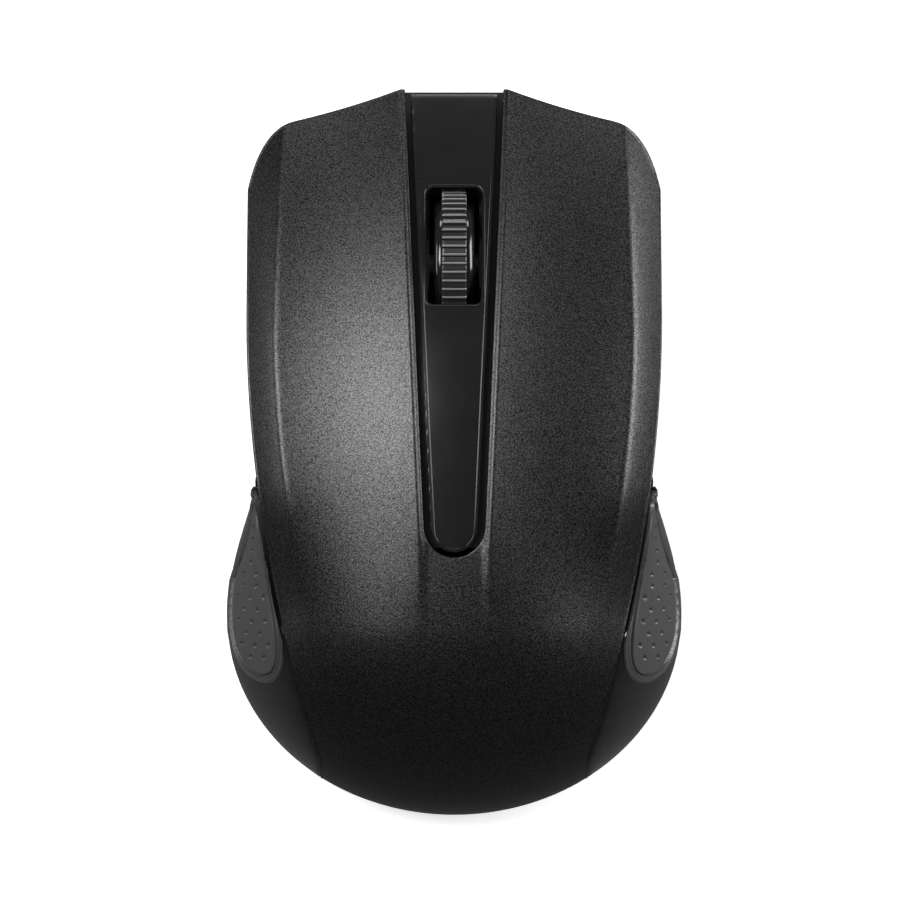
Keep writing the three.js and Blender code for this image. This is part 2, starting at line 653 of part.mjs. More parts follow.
// ---- Circuit board -------------------------------------------------------------------------
function makeBoard() {
  const { x, y0, y1, z } = BOARD;
  let board = prism(roundedRectangle(-x, x, y0, y1, 2.5), z, BOARD_TOP, 4)
    .subtract(prism(roundedRectangle(-3, 3, SENSOR_Y - 3, SENSOR_Y + 7.6, 1), 0, 20, 3));
  BOARD_SCREWS.forEach(([sx, sy]) => {
    board = board.subtract(post(sx, sy, 0.9, 0, 20, 12));
  });
  return part('main_board', board, boardGreen);
}

function makeBoardPart(name, x0, x1, y0, y1, height, paint) {
  const z = BOARD_TOP + 0.1;
  return part(name, block(x0, x1, y0, y1, z, z + height), paint);
}

function makeSensor() {
  const z = BOARD_TOP + 0.4;
  let chip = block(-4.9, 4.9, SENSOR_Y - 3.9, SENSOR_Y + 3.9, z, z + 2.6);
  spread(-2.7, 2.7, 3).forEach((y) => {
    [-1, 1].forEach((side) => {
      const inner = side * 4.7;
      const outer = side * 5.9;
      chip = chip.add(block(
        Math.min(inner, outer), Math.max(inner, outer),
        SENSOR_Y + y - 0.4, SENSOR_Y + y + 0.4, z - 0.2, z + 1.2,
      ));
    });
  });
  return part('sensor_chip', chip, chipBlack);
}

function makeLens() {
  const plate = prism(roundedRectangle(-5.4, 5.4, SENSOR_Y - 4.2, SENSOR_Y + 7, 1), FLOOR_TOP + 0.1, 4.6, 4)
    .add(post(0, SENSOR_Y, 2.2, 4.5, BOARD.z - 0.2, 18))
    .add(block(-2, 2, SENSOR_Y + 3.2, SENSOR_Y + 6, 4.5, BOARD.z - 0.4));
  return part('lens_plate', plate, clearLens);
}

function makeLed() {
  const z = BOARD_TOP + 2.6;
  const y = SENSOR_Y + 7.4;
  const points = [[0, 0], [1.5, 0], [1.5, 3], [1.1, 4.1], [0, 4.5]];
  const geometry = new THREE.LatheGeometry(points.map(([r, h]) => new THREE.Vector2(r, h)), 16);
  geometry.rotateX(Math.PI);
  geometry.translate(0, y + 4.5, z);
  return part('illumination_led', solid(geometry), ledRed);
}

function makeLedClip() {
  const y0 = SENSOR_Y + 8;
  const clip = block(-2.6, 2.6, y0, y0 + 3, BOARD_TOP + 0.1, BOARD_TOP + 5)
    .subtract(block(-1.8, 1.8, y0 - 1, y0 + 4, BOARD_TOP + 0.8, BOARD_TOP + 4.4));
  return part('led_clip', clip, matteBlack);
}

function makeSwitch(name, x, y, plungerY) {
  const z = BOARD_TOP + 0.1;
  const half = SWITCH.width / 2;
  const body = block(x - half, x + half, y - SWITCH.length / 2, y + SWITCH.length / 2, z, z + SWITCH.height)
    .subtract(block(x - 1.4, x + 1.4, plungerY - 1.4, plungerY + 1.4, z + SWITCH.height - 2, z + 20));
  return part(name, body, matteBlack);
}

function makePlunger(name, x, plungerY) {
  const top = BOARD_TOP + 0.1 + SWITCH.height;
  return part(name, post(x, plungerY, PLUNGER.r, top - 1.1, top + PLUNGER.height, 14), switchWhite);
}

function makePowerSwitch() {
  const top = BOARD.z - 0.2;
  const body = block(POWER.x - 1.9, POWER.x + 1.9, POWER.y - 4.6, POWER.y + 4.2, top - 3, top)
    .subtract(block(POWER.x - 0.9, POWER.x + 0.9, POWER.y - 3.8, POWER.y + 1.4, top - 4, top - 1.2));
  return part('power_switch_body', body, steel);
}

function makePowerKnob() {
  const y0 = POWER.y - 1.1;
  const y1 = POWER.y + 1.1;
  const knob = block(POWER.x - 1.8, POWER.x + 1.8, y0 - 0.4, y1 + 0.4, 1.3, 4.4)
    .add(block(POWER.x - 0.7, POWER.x + 0.7, y0 + 0.2, y1 - 0.2, 4.3, 6.2));
  return part('power_switch_knob', knob, switchWhite);
}

// ---- Scroll wheel --------------------------------------------------------------------------
function makeWheelHub() {
  const half = HUB_W / 2;
  const seat = TREAD_W / 2 + 0.05;
  const profile = [
    [AXLE_R + 0.05, -half], [HUB_R - 1, -half], [HUB_R, -half + 0.5], [HUB_R, -seat], [HUB_R - 1.3, -seat],
    [HUB_R - 1.3, seat], [HUB_R, seat], [HUB_R, half - 0.5], [HUB_R - 1, half], [AXLE_R + 0.05, half],
  ];
  return part('wheel_hub', wheelTurned([...profile, profile[0]]), glossBlack);
}

function makeWheelTyre() {
  const half = TREAD_W / 2;
  const shape = new THREE.Shape();
  const steps = RIBS * 2;
  spread(0, steps - 1, steps - 1).forEach((i) => {
    const r = i % 2 < 0.5 ? WHEEL_R : WHEEL_R - 0.35;
    const angle = (i / steps) * Math.PI * 2;
    shape[i < 0.5 ? 'moveTo' : 'lineTo'](r * Math.cos(angle), r * Math.sin(angle));
  });
  const bore = new THREE.Path().absarc(0, 0, HUB_R - 1.2, 0, Math.PI * 2, true);
  shape.holes.push(bore);
  const geometry = new THREE.ExtrudeGeometry(shape, {
    depth: TREAD_W, bevelEnabled: false, curveSegments: 18,
  });
  geometry.translate(0, 0, -half);
  geometry.rotateY(Math.PI / 2);
  geometry.translate(0, WHEEL_Y, WHEEL_Z);
  return part('wheel_tyre', solid(geometry), rubberBlack);
}

// Plain shaft in the cradle bearings, with a hexagonal end in the encoder.
function makeAxle() {
  const shaft = wheelTurned([[0, -6.6], [AXLE_R, -6.6], [AXLE_R, 7], [0, 7]], 24);
  const hex = wheelTurned([[0, -12.8], [1, -12.8], [1, -6.5], [0, -6.5]], 6);
  return part('wheel_axle', shaft.add(hex), nylonGrey);
}

function makeCarrier() {
  const outer = 5.7;
  const inner = 3.6;
  const [y0, y1] = CARRIER_Y;
  const bottom = 14.5;
  const top = WHEEL_Z + 0.4;
  const hole = wheelTurned([[0, -9], [AXLE_R + AXLE_CLEAR, -9], [AXLE_R + AXLE_CLEAR, 9], [0, 9]], 24);
  const ears = block(-outer, outer, WHEEL_Y - 3.4, WHEEL_Y + 3.4, bottom, WHEEL_Z + 2.6);
  const carrier = block(-outer, outer, y0, y1, bottom, top - 3)
    .add(ears)
    .subtract(block(-inner, inner, y0 + 1, y1 - 1, 0, 60))
    .subtract(hole)
    .add(block(-11.8, -outer + 0.5, WHEEL_Y - 3, WHEEL_Y + 3, bottom, WHEEL_Z - 3.7))
    .add(block(outer - 0.5, WHEEL_SWITCH.x + 1.6, WHEEL_PLUNGER_Y - 1.6, WHEEL_PLUNGER_Y + 1.6,
      BOARD_TOP + 0.1 + SWITCH.height + PLUNGER.height + GAP, 19.6));
  return part('wheel_carrier', carrier, nylonGrey);
}

function makeEncoder() {
  const bore = wheelTurned([[0, -14], [1.2, -14], [1.2, -5], [0, -5]], 24);
  const body = block(-13, -8, WHEEL_Y - 3.4, WHEEL_Y + 3.4, WHEEL_Z - 3.4, WHEEL_Z + 2.8)
    .subtract(bore);
  return part('encoder_body', body, boardGreen);
}

// Two uprights that guide the carrier, fixed to the board.
function makeGuide(name, y, half) {
  const guide = block(-7.4, 7.4, y - half, y + half, BOARD_TOP + 0.1, 19)
    .subtract(block(-3, 3, y - 2, y + 2, BOARD_TOP + 2, 30));
  return part(name, guide, nylonGrey);
}

// A bent steel blade from the board up to just under the carrier's right rail.
function makeReturnSpring() {
  const z0 = BOARD_TOP + 0.1;
  const z1 = 13.8;
  const t = 0.35;
  const outline = [
    [36, z0], [30.5, z0], [24, z1 - t], [21.5, z1 - t],
    [21.5, z1], [24.2, z1], [30.7, z0 + t], [36, z0 + t],
  ];
  const shape = new THREE.Shape(outline.map(([y, z]) => new THREE.Vector2(y, z)));
  const geometry = new THREE.ExtrudeGeometry(shape, { depth: 1.6, bevelEnabled: false });
  geometry.rotateX(Math.PI / 2);
  geometry.rotateZ(Math.PI / 2);
  geometry.translate(3.9, 0, 0);
  return part('wheel_leaf_spring', solid(geometry), steel);
}

// ---- Assembly ------------------------------------------------------------------------------
const mouse = new THREE.Group();
mouse.add(
  makePalmShell(),
  makeButton('left_button', -1),
  makeButton('right_button', 1),
  makeCentreStrip(),
  makeSideFrame(),
  makeGrip('left_grip', -1),
  makeGrip('right_grip', 1),
  makeBottomCase(),
  makeBatteryCover(),
  makeFrontFoot(),
  makeRearFoot('rear_foot_left', -1),
  makeRearFoot('rear_foot_right', 1),
  ...makeScrews(),
  makeCell('cell_left', -1, CELL.leftY0, true),
  makeCell('cell_right', 1, CELL.rightY0, false),
  makeSpringContact('spring_contact_left', -CELL.x, BAY.y0 + 0.1, true),
  makeSpringContact('spring_contact_right', CELL.x, BAY.y1 - 0.6, false),
  makePlateContact('plate_contact_left', -CELL.x, BAY.y1 - 0.6),
  makePlateContact('plate_contact_right', CELL.x, BAY.y0 + 0.1),
  makeReceiverPlug(),
  makeReceiverCap(),
  makeBoard(),
  makeSensor(),
  makeLens(),
  makeLed(),
  makeLedClip(),
  makeBoardPart('controller_chip', -12, -6, 16, 22, 1.2, chipBlack),
  makeBoardPart('crystal', 16.5, 18, 12, 16, 1.4, steel),
  makeBoardPart('capacitor', -18.5, -13.5, 12, 17, 5, steel),
  makeSwitch('left_switch', -SWITCH.x, SWITCH.y, PLUNGER.y),
  makeSwitch('right_switch', SWITCH.x, SWITCH.y, PLUNGER.y),
  makeSwitch('wheel_switch', WHEEL_SWITCH.x, WHEEL_SWITCH.y, WHEEL_PLUNGER_Y),
  makePlunger('left_plunger', -SWITCH.x, PLUNGER.y),
  makePlunger('right_plunger', SWITCH.x, PLUNGER.y),
  makePlunger('wheel_plunger', WHEEL_SWITCH.x, WHEEL_PLUNGER_Y),
  makePowerSwitch(),
  makePowerKnob(),
  makeWheelHub(),
  makeWheelTyre(),
  makeAxle(),
  makeCarrier(),
  makeEncoder(),
  makeGuide('carrier_guide_rear', CARRIER_Y[0] - 0.95, 0.6),
  makeGuide('carrier_guide_front', CARRIER_Y[1] + 0.75, 0.45),
  makeReturnSpring(),
);

export default mouse;
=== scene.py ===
"""Looks of a cordless computer mouse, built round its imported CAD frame."""

import json
import math

import bmesh
import bpy
import numpy as np
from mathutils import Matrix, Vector


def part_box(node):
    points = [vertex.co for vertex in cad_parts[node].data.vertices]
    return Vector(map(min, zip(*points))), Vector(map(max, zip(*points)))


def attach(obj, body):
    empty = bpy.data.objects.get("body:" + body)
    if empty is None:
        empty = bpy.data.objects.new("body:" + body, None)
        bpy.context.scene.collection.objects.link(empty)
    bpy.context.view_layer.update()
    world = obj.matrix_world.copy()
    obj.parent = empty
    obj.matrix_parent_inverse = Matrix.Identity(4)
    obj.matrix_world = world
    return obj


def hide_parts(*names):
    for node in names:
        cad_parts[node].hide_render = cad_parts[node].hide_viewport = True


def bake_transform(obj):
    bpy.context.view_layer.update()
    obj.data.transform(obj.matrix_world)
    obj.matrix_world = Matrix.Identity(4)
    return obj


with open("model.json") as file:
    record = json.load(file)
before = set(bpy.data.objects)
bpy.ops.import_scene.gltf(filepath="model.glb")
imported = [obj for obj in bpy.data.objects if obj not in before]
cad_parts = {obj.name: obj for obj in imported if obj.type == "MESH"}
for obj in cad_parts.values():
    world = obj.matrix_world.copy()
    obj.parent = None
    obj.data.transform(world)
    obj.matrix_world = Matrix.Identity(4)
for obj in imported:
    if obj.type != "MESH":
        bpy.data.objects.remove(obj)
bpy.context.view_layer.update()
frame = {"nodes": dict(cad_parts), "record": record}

# ---- Driving dimensions, in millimetres, from the frame where it gives them ----------------
MM = 0.001


def span(node):
    """Lowest and highest corner of a CAD node, in millimetres."""
    low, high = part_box(node)
    return np.array(low) / MM, np.array(high) / MM


PALM_LOW, _ = span("palm_shell")
_, BUTTON_HIGH = span("right_button")
_, FRAME_HIGH = span("side_frame")
STRIP_LOW, STRIP_HIGH = span("centre_strip")
TYRE_LOW, TYRE_HIGH = span("wheel_tyre")
HUB_LOW, HUB_HIGH = span("wheel_hub")

HEIGHT = 37.9
NOSE_Y = BUTTON_HIGH[1]
TAIL_Y = PALM_LOW[1]
HALF_WIDTH = FRAME_HIGH[0]
SHELL_HALF = BUTTON_HIGH[0]
CROWN_Y = -10.0
SPINE_CURVE = 0.0045
TAIL_CENTRE_Y = -24.0
TAIL_REACH = TAIL_CENTRE_Y - TAIL_Y
WIDEST_Z = 8.0
FLOOR_TOP = 3.3

SHELL_WALL = 1.6
SHORT_WALL = 1.9                    # depth of the walls beside the channel and at the seam
MIDDLE_ROWS = 5                     # rows of a button skin behind the channel's end
SHELL_TAPER = 10.3
TAPER_START_Y = 20.0
TAPER_END_Y = -44.0
BEVEL = 4.1
BEVEL_DROP = 4.5
DISH_DROP = 3.0
RIDGE_WIDTH = 0.8
RIDGE_DROP = 0.45
WAIST_Y = -4.0
SKIRT = (1.8, 4.4)
SEAM_Y = -17.0                      # where the button skins meet the palm skin
FILLET = 0.28

CHANNEL = (-14.5, 4.1, 7.1)         # rear end, half width there, half width at the nose
STRIP = (-13.85, 3.1, 6.2)
WINDOW = (-4.0, 4.0, 21.3, 38.1)
WINDOW_CORNER = 1.1
STRIP_CROWN = 0.12
STRIP_WALL = 2.6
STRIP_EDGE = 0.32
FLANGE_WALL = 0.9
FLANGE_OPENING = (15.2, 39.0, 4.2)  # rear end, front end, half width

WAIST_HALF = 26.0
WAIST_SWELL = 3.5
WAIST_LENGTH = 34.0
FRAME_GAP = 0.3
FRAME_WALL = 1.7
FRAME_INSET = 3.0                   # how far it stands in under the shell at the nose
FRAME_TUCK = 1.4                    # how far its top reaches up behind the shell's lip
FRAME_SAMPLES = 100                 # points up its outer side
POCKET_DEPTH = 1.2
FRAME_END_Y = -46.85                # where the frame runs out between the shell and the tail
RIB_SHARE = 0.21                    # half a rib's width as a share of the pitch
RIB_DEPTH = 0.5
GRIP_TIP_Y = -5.2
GRIP_TAIL_Y = -32.0
GRIP_COLLAR = 1.0
PIT_PITCH = 1.7
PIT_SPACING = 2.0
PIT_SIZE = (0.26, 0.42)
PIT_DEPTH = 0.4


# ---- Form: the height of the shell and the outline in plan ----------------------------------
def ramp(value, low, high):
    t = np.clip((np.asarray(value, float) - low) / (high - low), 0, 1)
    return t * t * (3 - 2 * t)


def mix(a, b, t):
    return a + (b - a) * t


def spine(y):
    return HEIGHT - SPINE_CURVE * (y - CROWN_Y) ** 2


def shell_half(y):
    t = np.clip((TAPER_START_Y - y) / (TAPER_START_Y - TAPER_END_Y), 0, 1)
    return SHELL_HALF - SHELL_TAPER * t ** 1.9


def tail_half(y, inset=0.0):
    reach = TAIL_REACH - inset
    t = np.clip((TAIL_CENTRE_Y - y) / reach, 0, 1)
    return (HALF_WIDTH - inset) * np.sqrt(1 - t * t)


def frame_half(y):
    t = np.clip((y - TAIL_CENTRE_Y) / WAIST_LENGTH, 0, 1)
    swell = WAIST_HALF + WAIST_SWELL * (1 + np.cos(np.pi * t))
    return np.where(y < TAIL_CENTRE_Y, tail_half(y), swell)


def tapered(y, taper):
    rear, at_rear, at_nose = taper
    return mix(at_rear, at_nose, (y - rear) / (NOSE_Y - rear))


def dome(x, y):
    back = np.maximum(0, TAIL_CENTRE_Y - y) / TAIL_REACH
    reach = np.clip(np.hypot(x / HALF_WIDTH, back), 0, 1)
    return WIDEST_Z + (spine(y) - WIDEST_Z) * (1 - reach ** 2.3) ** 0.55


def crease_half(y):
    """The outer crease keeps its distance from the side and leans in a little at the nose."""
    return shell_half(y) - BEVEL - 1.3 * np.clip((y - 14) / 33, 0, 1) ** 1.6


def soft_step(distance, radius):
    """0 before the crease and the distance itself after it, rounded over the radius."""
    t = np.clip(distance / (2 * radius) + 0.5, 0, 1)
    return np.where(distance < radius, radius * t * t, distance)


def button_top(x, y):
    across = np.abs(x)
    crease = crease_half(y)
    edge = shell_half(y)
    ridge = tapered(np.maximum(y, CHANNEL[0]), CHANNEL) + RIDGE_WIDTH
    dish = np.clip((across - ridge) / (crease - ridge), 0, 1)
    past = soft_step(across - crease, 0.45) / (edge - crease)
    inner = soft_step(ridge - across, 0.2) / RIDGE_WIDTH
    fall = DISH_DROP * (1 - (1 - dish) ** 2) + BEVEL_DROP * past ** 1.15
    return spine(y) - fall - RIDGE_DROP * np.clip(inner, 0, 1.2)


def shell_top(x, y):
    return mix(dome(x, y), button_top(x, y), ramp(y, -30, -4))


def shell_edge(y):
    """Lower edge of the shell's lip."""
    skirt = mix(SKIRT[0], SKIRT[1], np.clip((y - WAIST_Y) / (NOSE_Y - WAIST_Y), 0, 1))
    return shell_top(shell_half(y), y) - skirt


def unit(vectors):
    return vectors / np.linalg.norm(vectors, axis=1)[:, None]


def bezier(start, bend, end, count):
    t = np.linspace(0, 1, count)[:, None]
    a, b, c = (np.array(p, float) for p in (start, bend, end))
    return a * (1 - t) ** 2 + 2 * b * t * (1 - t) + c * t * t


def button_outline(inset=0.0):
    """Right side of the shell in plan, from the tip round the nose corner to the seam."""
    tip, corner, side = (7.7, NOSE_Y), (23.1, 47.9), (SHELL_HALF, 38.0)
    sweep = bezier(tip, (15.4, NOSE_Y - 2.8), corner, 60)
    turn = bezier(corner, (27.9, 46.6), side, 60)[1:]
    y = np.linspace(38.0, SEAM_Y - 4, 160)[1:]
    flank = np.stack([shell_half(y), y], axis=1)
    points = np.vstack([sweep, turn, flank])
    along = unit(np.gradient(points, axis=0))
    outward = np.stack([-along[:, 1], along[:, 0]], axis=1)
    return points - outward * inset


# ---- Mesh helpers ---------------------------------------------------------------------------
def make_object(name, vertices, faces, smooth=True):
    """A mesh object from millimetre points, with its faces pointing outward."""
    mesh = bpy.data.meshes.new(name)
    mesh.from_pydata([tuple(float(c) * MM for c in v) for v in vertices], [], faces)
    bm = bmesh.new()
    bm.from_mesh(mesh)
    bmesh.ops.remove_doubles(bm, verts=bm.verts, dist=2e-6)
    bmesh.ops.dissolve_degenerate(bm, edges=bm.edges, dist=1e-6)
    bmesh.ops.recalc_face_normals(bm, faces=bm.faces)
    bm.to_mesh(mesh)
    bm.free()
    mesh.polygons.foreach_set("use_smooth", [smooth] * len(mesh.polygons))
    obj = bpy.data.objects.new(name, mesh)
    bpy.context.collection.objects.link(obj)
    return obj


def grid_faces(rows, columns, start=0, closed=False, ring=False):
    """Quads over a grid; closed joins the last column to the first, and ring the last row."""
    faces = []
    for i in range(rows if ring else rows - 1):
        for j in range(columns if closed else columns - 1):
            k = (j + 1) % columns
            a, b = start + i * columns, start + (i + 1) % rows * columns
            faces.append((a + j, a + k, b + k, b + j))
    return faces


def faces_round(shape, in_hole):
    """Quads over a grid, without those whose row and column lie in the hole."""
    rows, columns = shape
    faces = enumerate(grid_faces(rows, columns))
    return [face for k, face in faces if not in_hole(*divmod(k, columns - 1))]


def end_caps(rows, columns):
    """The two faces that close the ends of a tube."""
    last = (rows - 1) * columns
    return [tuple(range(columns)), tuple(last + j for j in reversed(range(columns)))]


def perimeter(rows, columns):
    """Indices round the edge of a grid, in order."""
    bottom = list(range(columns))
    right = [i * columns + columns - 1 for i in range(1, rows)]
    top = [(rows - 1) * columns + j for j in range(columns - 2, -1, -1)]
    left = [i * columns for i in range(rows - 2, 0, -1)]
    return bottom + right + top + left


def slab(name, top, under, rims):
    """A closed solid: a top grid, rings of rim points, and an underside grid of the same size."""
    rows, columns = top.shape[:2]
    vertices = list(top.reshape(-1, 3))
    edge = perimeter(rows, columns)
    count = len(edge)
    faces = grid_faces(rows, columns)
    rings = [edge]
    for rim in rims:
        rings.append(list(range(len(vertices), len(vertices) + count)))
        vertices.extend(rim)
    base = len(vertices)
    vertices.extend(under.reshape(-1, 3))
    faces.extend(tuple(reversed(f)) for f in grid_faces(rows, columns, base))
    rings.append([base + k for k in edge])
    for upper, lower in zip(rings, rings[1:]):
        for j in range(count):
            k = (j + 1) % count
            faces.append((upper[j], lower[j], lower[k], upper[k]))
    return make_object(name, vertices, faces)


# ---- Top shell ------------------------------------------------------------------------------
def button_plan(inset, middle=MIDDLE_ROWS, turn=15, side=130, columns=60):
    """Plan grid of the right button, drawn in by the inset from its free edges.

    Its inner edge runs along the middle line, round the channel's end and along the channel.
    """
    outline = button_outline(inset)
    outline = outline[outline[:, 0] > tapered(outline[:, 1], CHANNEL) + inset + 0.12]
    centre = CHANNEL[0] + CHANNEL[1]
    angle = np.linspace(0, np.pi / 2, turn)
    round_y = centre - (CHANNEL[1] + inset) * np.cos(angle)
    straight_y = np.linspace(SEAM_Y, round_y[0], middle)[:-1]
    v = np.linspace(0, 1, side)[1:]
    side_y = centre + (outline[0, 1] - centre) * (1 - (1 - v) ** 1.45)
    y = np.concatenate([straight_y, round_y, side_y])
    open_share = np.concatenate([0 * straight_y, np.sin(angle), np.ones(len(v))])
    start = (tapered(np.maximum(y, CHANNEL[0]), CHANNEL) + inset) * open_share
    stop = np.interp(y, outline[::-1, 1], outline[::-1, 0])
    u = np.linspace(0, 1, columns)
    u = u - 0.07 * np.sin(2 * np.pi * u)
    x = start[:, None] + (stop - start)[:, None] * u[None, :]
    return x, np.repeat(y[:, None], columns, axis=1)


def palm_plan(inset, rows=110, columns=121):
    """Plan grid of the palm skin, from the seam back to the tail."""
    u = np.linspace(-1, 1, columns)
    u = np.sign(u) * (1 - (1 - np.abs(u)) ** 1.25)
    at_tail = shell_half(TAPER_END_Y) - inset
    stop = TAIL_CENTRE_Y - (TAIL_REACH - inset) * np.sqrt(1 - (u * at_tail / (HALF_WIDTH - inset)) ** 2)
    t = np.sin(np.linspace(0, 1, rows) * np.pi / 2)
    y = SEAM_Y + (stop[None, :] - SEAM_Y) * t[:, None]
    return u[None, :] * (shell_half(y) - inset), y


def with_height(plan, drop=0.0):
    x, y = plan
    return np.stack([x, y, shell_top(x, y) - drop], axis=2)


def shell_rims(plan, top, bottom_of, free_of):
    """Rings of points from the top edge over its fillet, down the lip and back up inside."""
    edge = perimeter(*top.shape[:2])
    start = top.reshape(-1, 3)[edge]
    free = free_of(*top.shape[:2]).reshape(-1)[edge]

    def ring(inset, z_of):
        x, y = (grid.reshape(-1)[edge] for grid in plan(inset))
        return np.stack([x, y, z_of(x, y)], axis=1)

    rims = []
    for angle in np.radians([22, 45, 68, 90]):
        inset = FILLET * (1 - math.sin(angle))
        fall = start[:, 2] - FILLET * (1 - math.cos(angle))
        rims.append(ring(inset, lambda x, y: mix(shell_top(x, y), fall, free)))
    bottom = np.minimum(bottom_of(start), rims[-1][:, 2] - 0.6)
    lip = ((0.0, 0.25), (0.07, 0.07), (0.25, 0.0), (SHELL_WALL - 0.2, 0.0), (SHELL_WALL, 0.2))
    for inset, lift in lip:
        rims.append(ring(inset, lambda x, y: bottom + lift))
    return rims


def button_free(rows, columns):
    """1 on the free edges, which are rounded, and 0 on the cuts that meet the other skins."""
    free = np.ones((rows, columns))
    free[0, :-1] = 0
    free[:MIDDLE_ROWS - 1, 0] = 0
    return free


def palm_free(rows, columns):
    free = np.ones((rows, columns))
    free[0, 1:-1] = 0
    free[-1, :] = ramp(np.abs(np.linspace(-1, 1, columns)), 0.97, 1.0)
    return free


def button_bottom(start):
    """Lip height along the side and nose; beside the channel and at the seam the wall is short."""
    x, y, z = start.T
    beside = x < tapered(y, CHANNEL) + FILLET + 0.3
    inner = (y < CHANNEL[0] + CHANNEL[1]) & (x < shell_half(y) - 4)
    short = (beside & (y < NOSE_Y - 1.2)) | inner
    return np.where(short, z - SHORT_WALL, shell_edge(y))


def palm_bottom(start):
    x, y, z = start.T
    lip = mix(FLOOR_TOP, shell_edge(np.maximum(y, -45.5)), ramp(y, -46.3, -45.6))
    inner = (y > SEAM_Y - 0.01) & (np.abs(x) < shell_half(y) - 1)
    return np.where(inner, z - SHORT_WALL, lip)


def flip(*grids):
    """Mirror image of point grids across the middle plane."""
    return [grid * np.array([-1, 1, 1]) for grid in grids]


def sharpen(obj, degrees=40):
    obj.data.set_sharp_from_angle(angle=math.radians(degrees))


def build_button(name, side):
    top = with_height(button_plan(FILLET))
    under = with_height(button_plan(SHELL_WALL), SHELL_WALL)
    rims = shell_rims(button_plan, top, button_bottom, button_free)
    if side < 0:
        top, under, *rims = flip(top, under, *rims)
    skin = slab(name + "_skin", top, under, rims)
    sharpen(skin)
    return skin


def build_palm():
    top = with_height(palm_plan(FILLET))
    under = with_height(palm_plan(SHELL_WALL), SHELL_WALL)
    skin = slab("palm_skin", top, under, shell_rims(palm_plan, top, palm_bottom, palm_free))
    sharpen(skin)
    return skin


# ---- Centre strip ---------------------------------------------------------------------------
def strip_half(y):
    rear, radius = STRIP[0], STRIP[1]
    centre = rear + radius
    back = np.clip((centre - y) / radius, 0, 1)
    return np.where(y < centre, radius * np.sqrt(1 - back * back), tapered(y, STRIP))


def window_half(y):
    """Half width of the wheel window, with round corners."""
    _, half, rear, front = WINDOW
    into = np.minimum(y - rear, front - y)
    corner = np.clip(1 - into / WINDOW_CORNER, 0, 1)
    return half - WINDOW_CORNER * (1 - np.sqrt(1 - corner * corner))


def strip_rows():
    """Rows along the strip, closer at its round end and at the window's corners."""
    _, _, rear, front = WINDOW
    turn = 1 - np.cos(np.linspace(0, np.pi / 2, 9))
    end = STRIP[0] + 0.02 + (STRIP[1] - 0.02) * turn
    back = np.linspace(STRIP[0] + STRIP[1], rear, 50)[1:]
    corner = rear + WINDOW_CORNER * turn[1:]
    side = np.linspace(rear + WINDOW_CORNER, front - WINDOW_CORNER, 24)[1:]
    far_corner = front - WINDOW_CORNER * turn[::-1][1:]
    nose = np.linspace(front, STRIP_HIGH[1] - FILLET, 22)[1:]
    return np.concatenate([end, back, corner, side, far_corner, nose])


def strip_stations():
    """Rows along the strip and their heights, on over the nose edge and down its face."""
    y = strip_rows()
    height = spine(y)
    turn = np.radians([25, 50, 75, 90])
    slope = 2 * SPINE_CURVE * (y[-1] - CROWN_Y)
    over = y[-1] + FILLET * np.sin(turn)
    fall = height[-1] - FILLET * (1 - np.cos(turn)) - slope * FILLET * np.sin(turn)
    down = np.linspace(fall[-1], STRIP_LOW[2] + 5, 12)[1:]
    y = np.concatenate([y, over, np.full(len(down), over[-1])])
    return y, np.concatenate([height, fall, down])


def build_strip():
    y, z = strip_stations()
    outer = strip_half(np.minimum(y, STRIP_HIGH[1] - FILLET))
    inner = np.minimum(window_half(np.clip(y, WINDOW[2], WINDOW[3])), outer * 0.8)
    rail, middle = 8, 9
    side = np.linspace(0, 1, rail)[None, :]
    left = -outer[:, None] + (outer - inner)[:, None] * side
    centre = inner[:, None] * np.linspace(-1, 1, middle)[None, :]
    x = np.concatenate([left, centre[:, 1:], -left[:, ::-1][:, 1:]], axis=1)
    crown = STRIP_CROWN * (x / outer[:, None]) ** 2
    points = np.stack([x, np.repeat(y[:, None], x.shape[1], 1), z[:, None] - crown], axis=2)
    in_window = (y >= WINDOW[2] - 1e-6) & (y < WINDOW[3] - 1e-6)
    faces = faces_round(x.shape, lambda i, j: in_window[i] and rail - 1 <= j < rail + middle - 2)
    strip = make_object("strip_cover", points.reshape(-1, 3), faces)
    thicken(strip, STRIP_WALL)
    bevel = strip.modifiers.new("edges", "BEVEL")
    bevel.width = STRIP_EDGE * MM
    bevel.segments = 4
    bevel.limit_method = "ANGLE"
    bevel.angle_limit = math.radians(50)
    bevel.harden_normals = True
    apply_modifiers(strip)
    return strip


def thicken(sheet, wall):
    """Add a wall below a sheet, whichever way its faces came out."""
    up = sum(p.normal.z for p in sheet.data.polygons)
    solidify = sheet.modifiers.new("wall", "SOLIDIFY")
    solidify.thickness = wall * MM
    solidify.offset = -1.0 if up > 0 else 1.0


def apply_modifiers(obj):
    evaluated = obj.evaluated_get(bpy.context.evaluated_depsgraph_get())
    mesh = bpy.data.meshes.new_from_object(evaluated)
    obj.modifiers.clear()
    obj.data = mesh
    bm = bmesh.new()
    bm.from_mesh(mesh)
    bmesh.ops.recalc_face_normals(bm, faces=bm.faces)
    bm.to_mesh(mesh)
    bm.free()
    mesh.polygons.foreach_set("use_smooth", [True] * len(mesh.polygons))
    sharpen(obj)


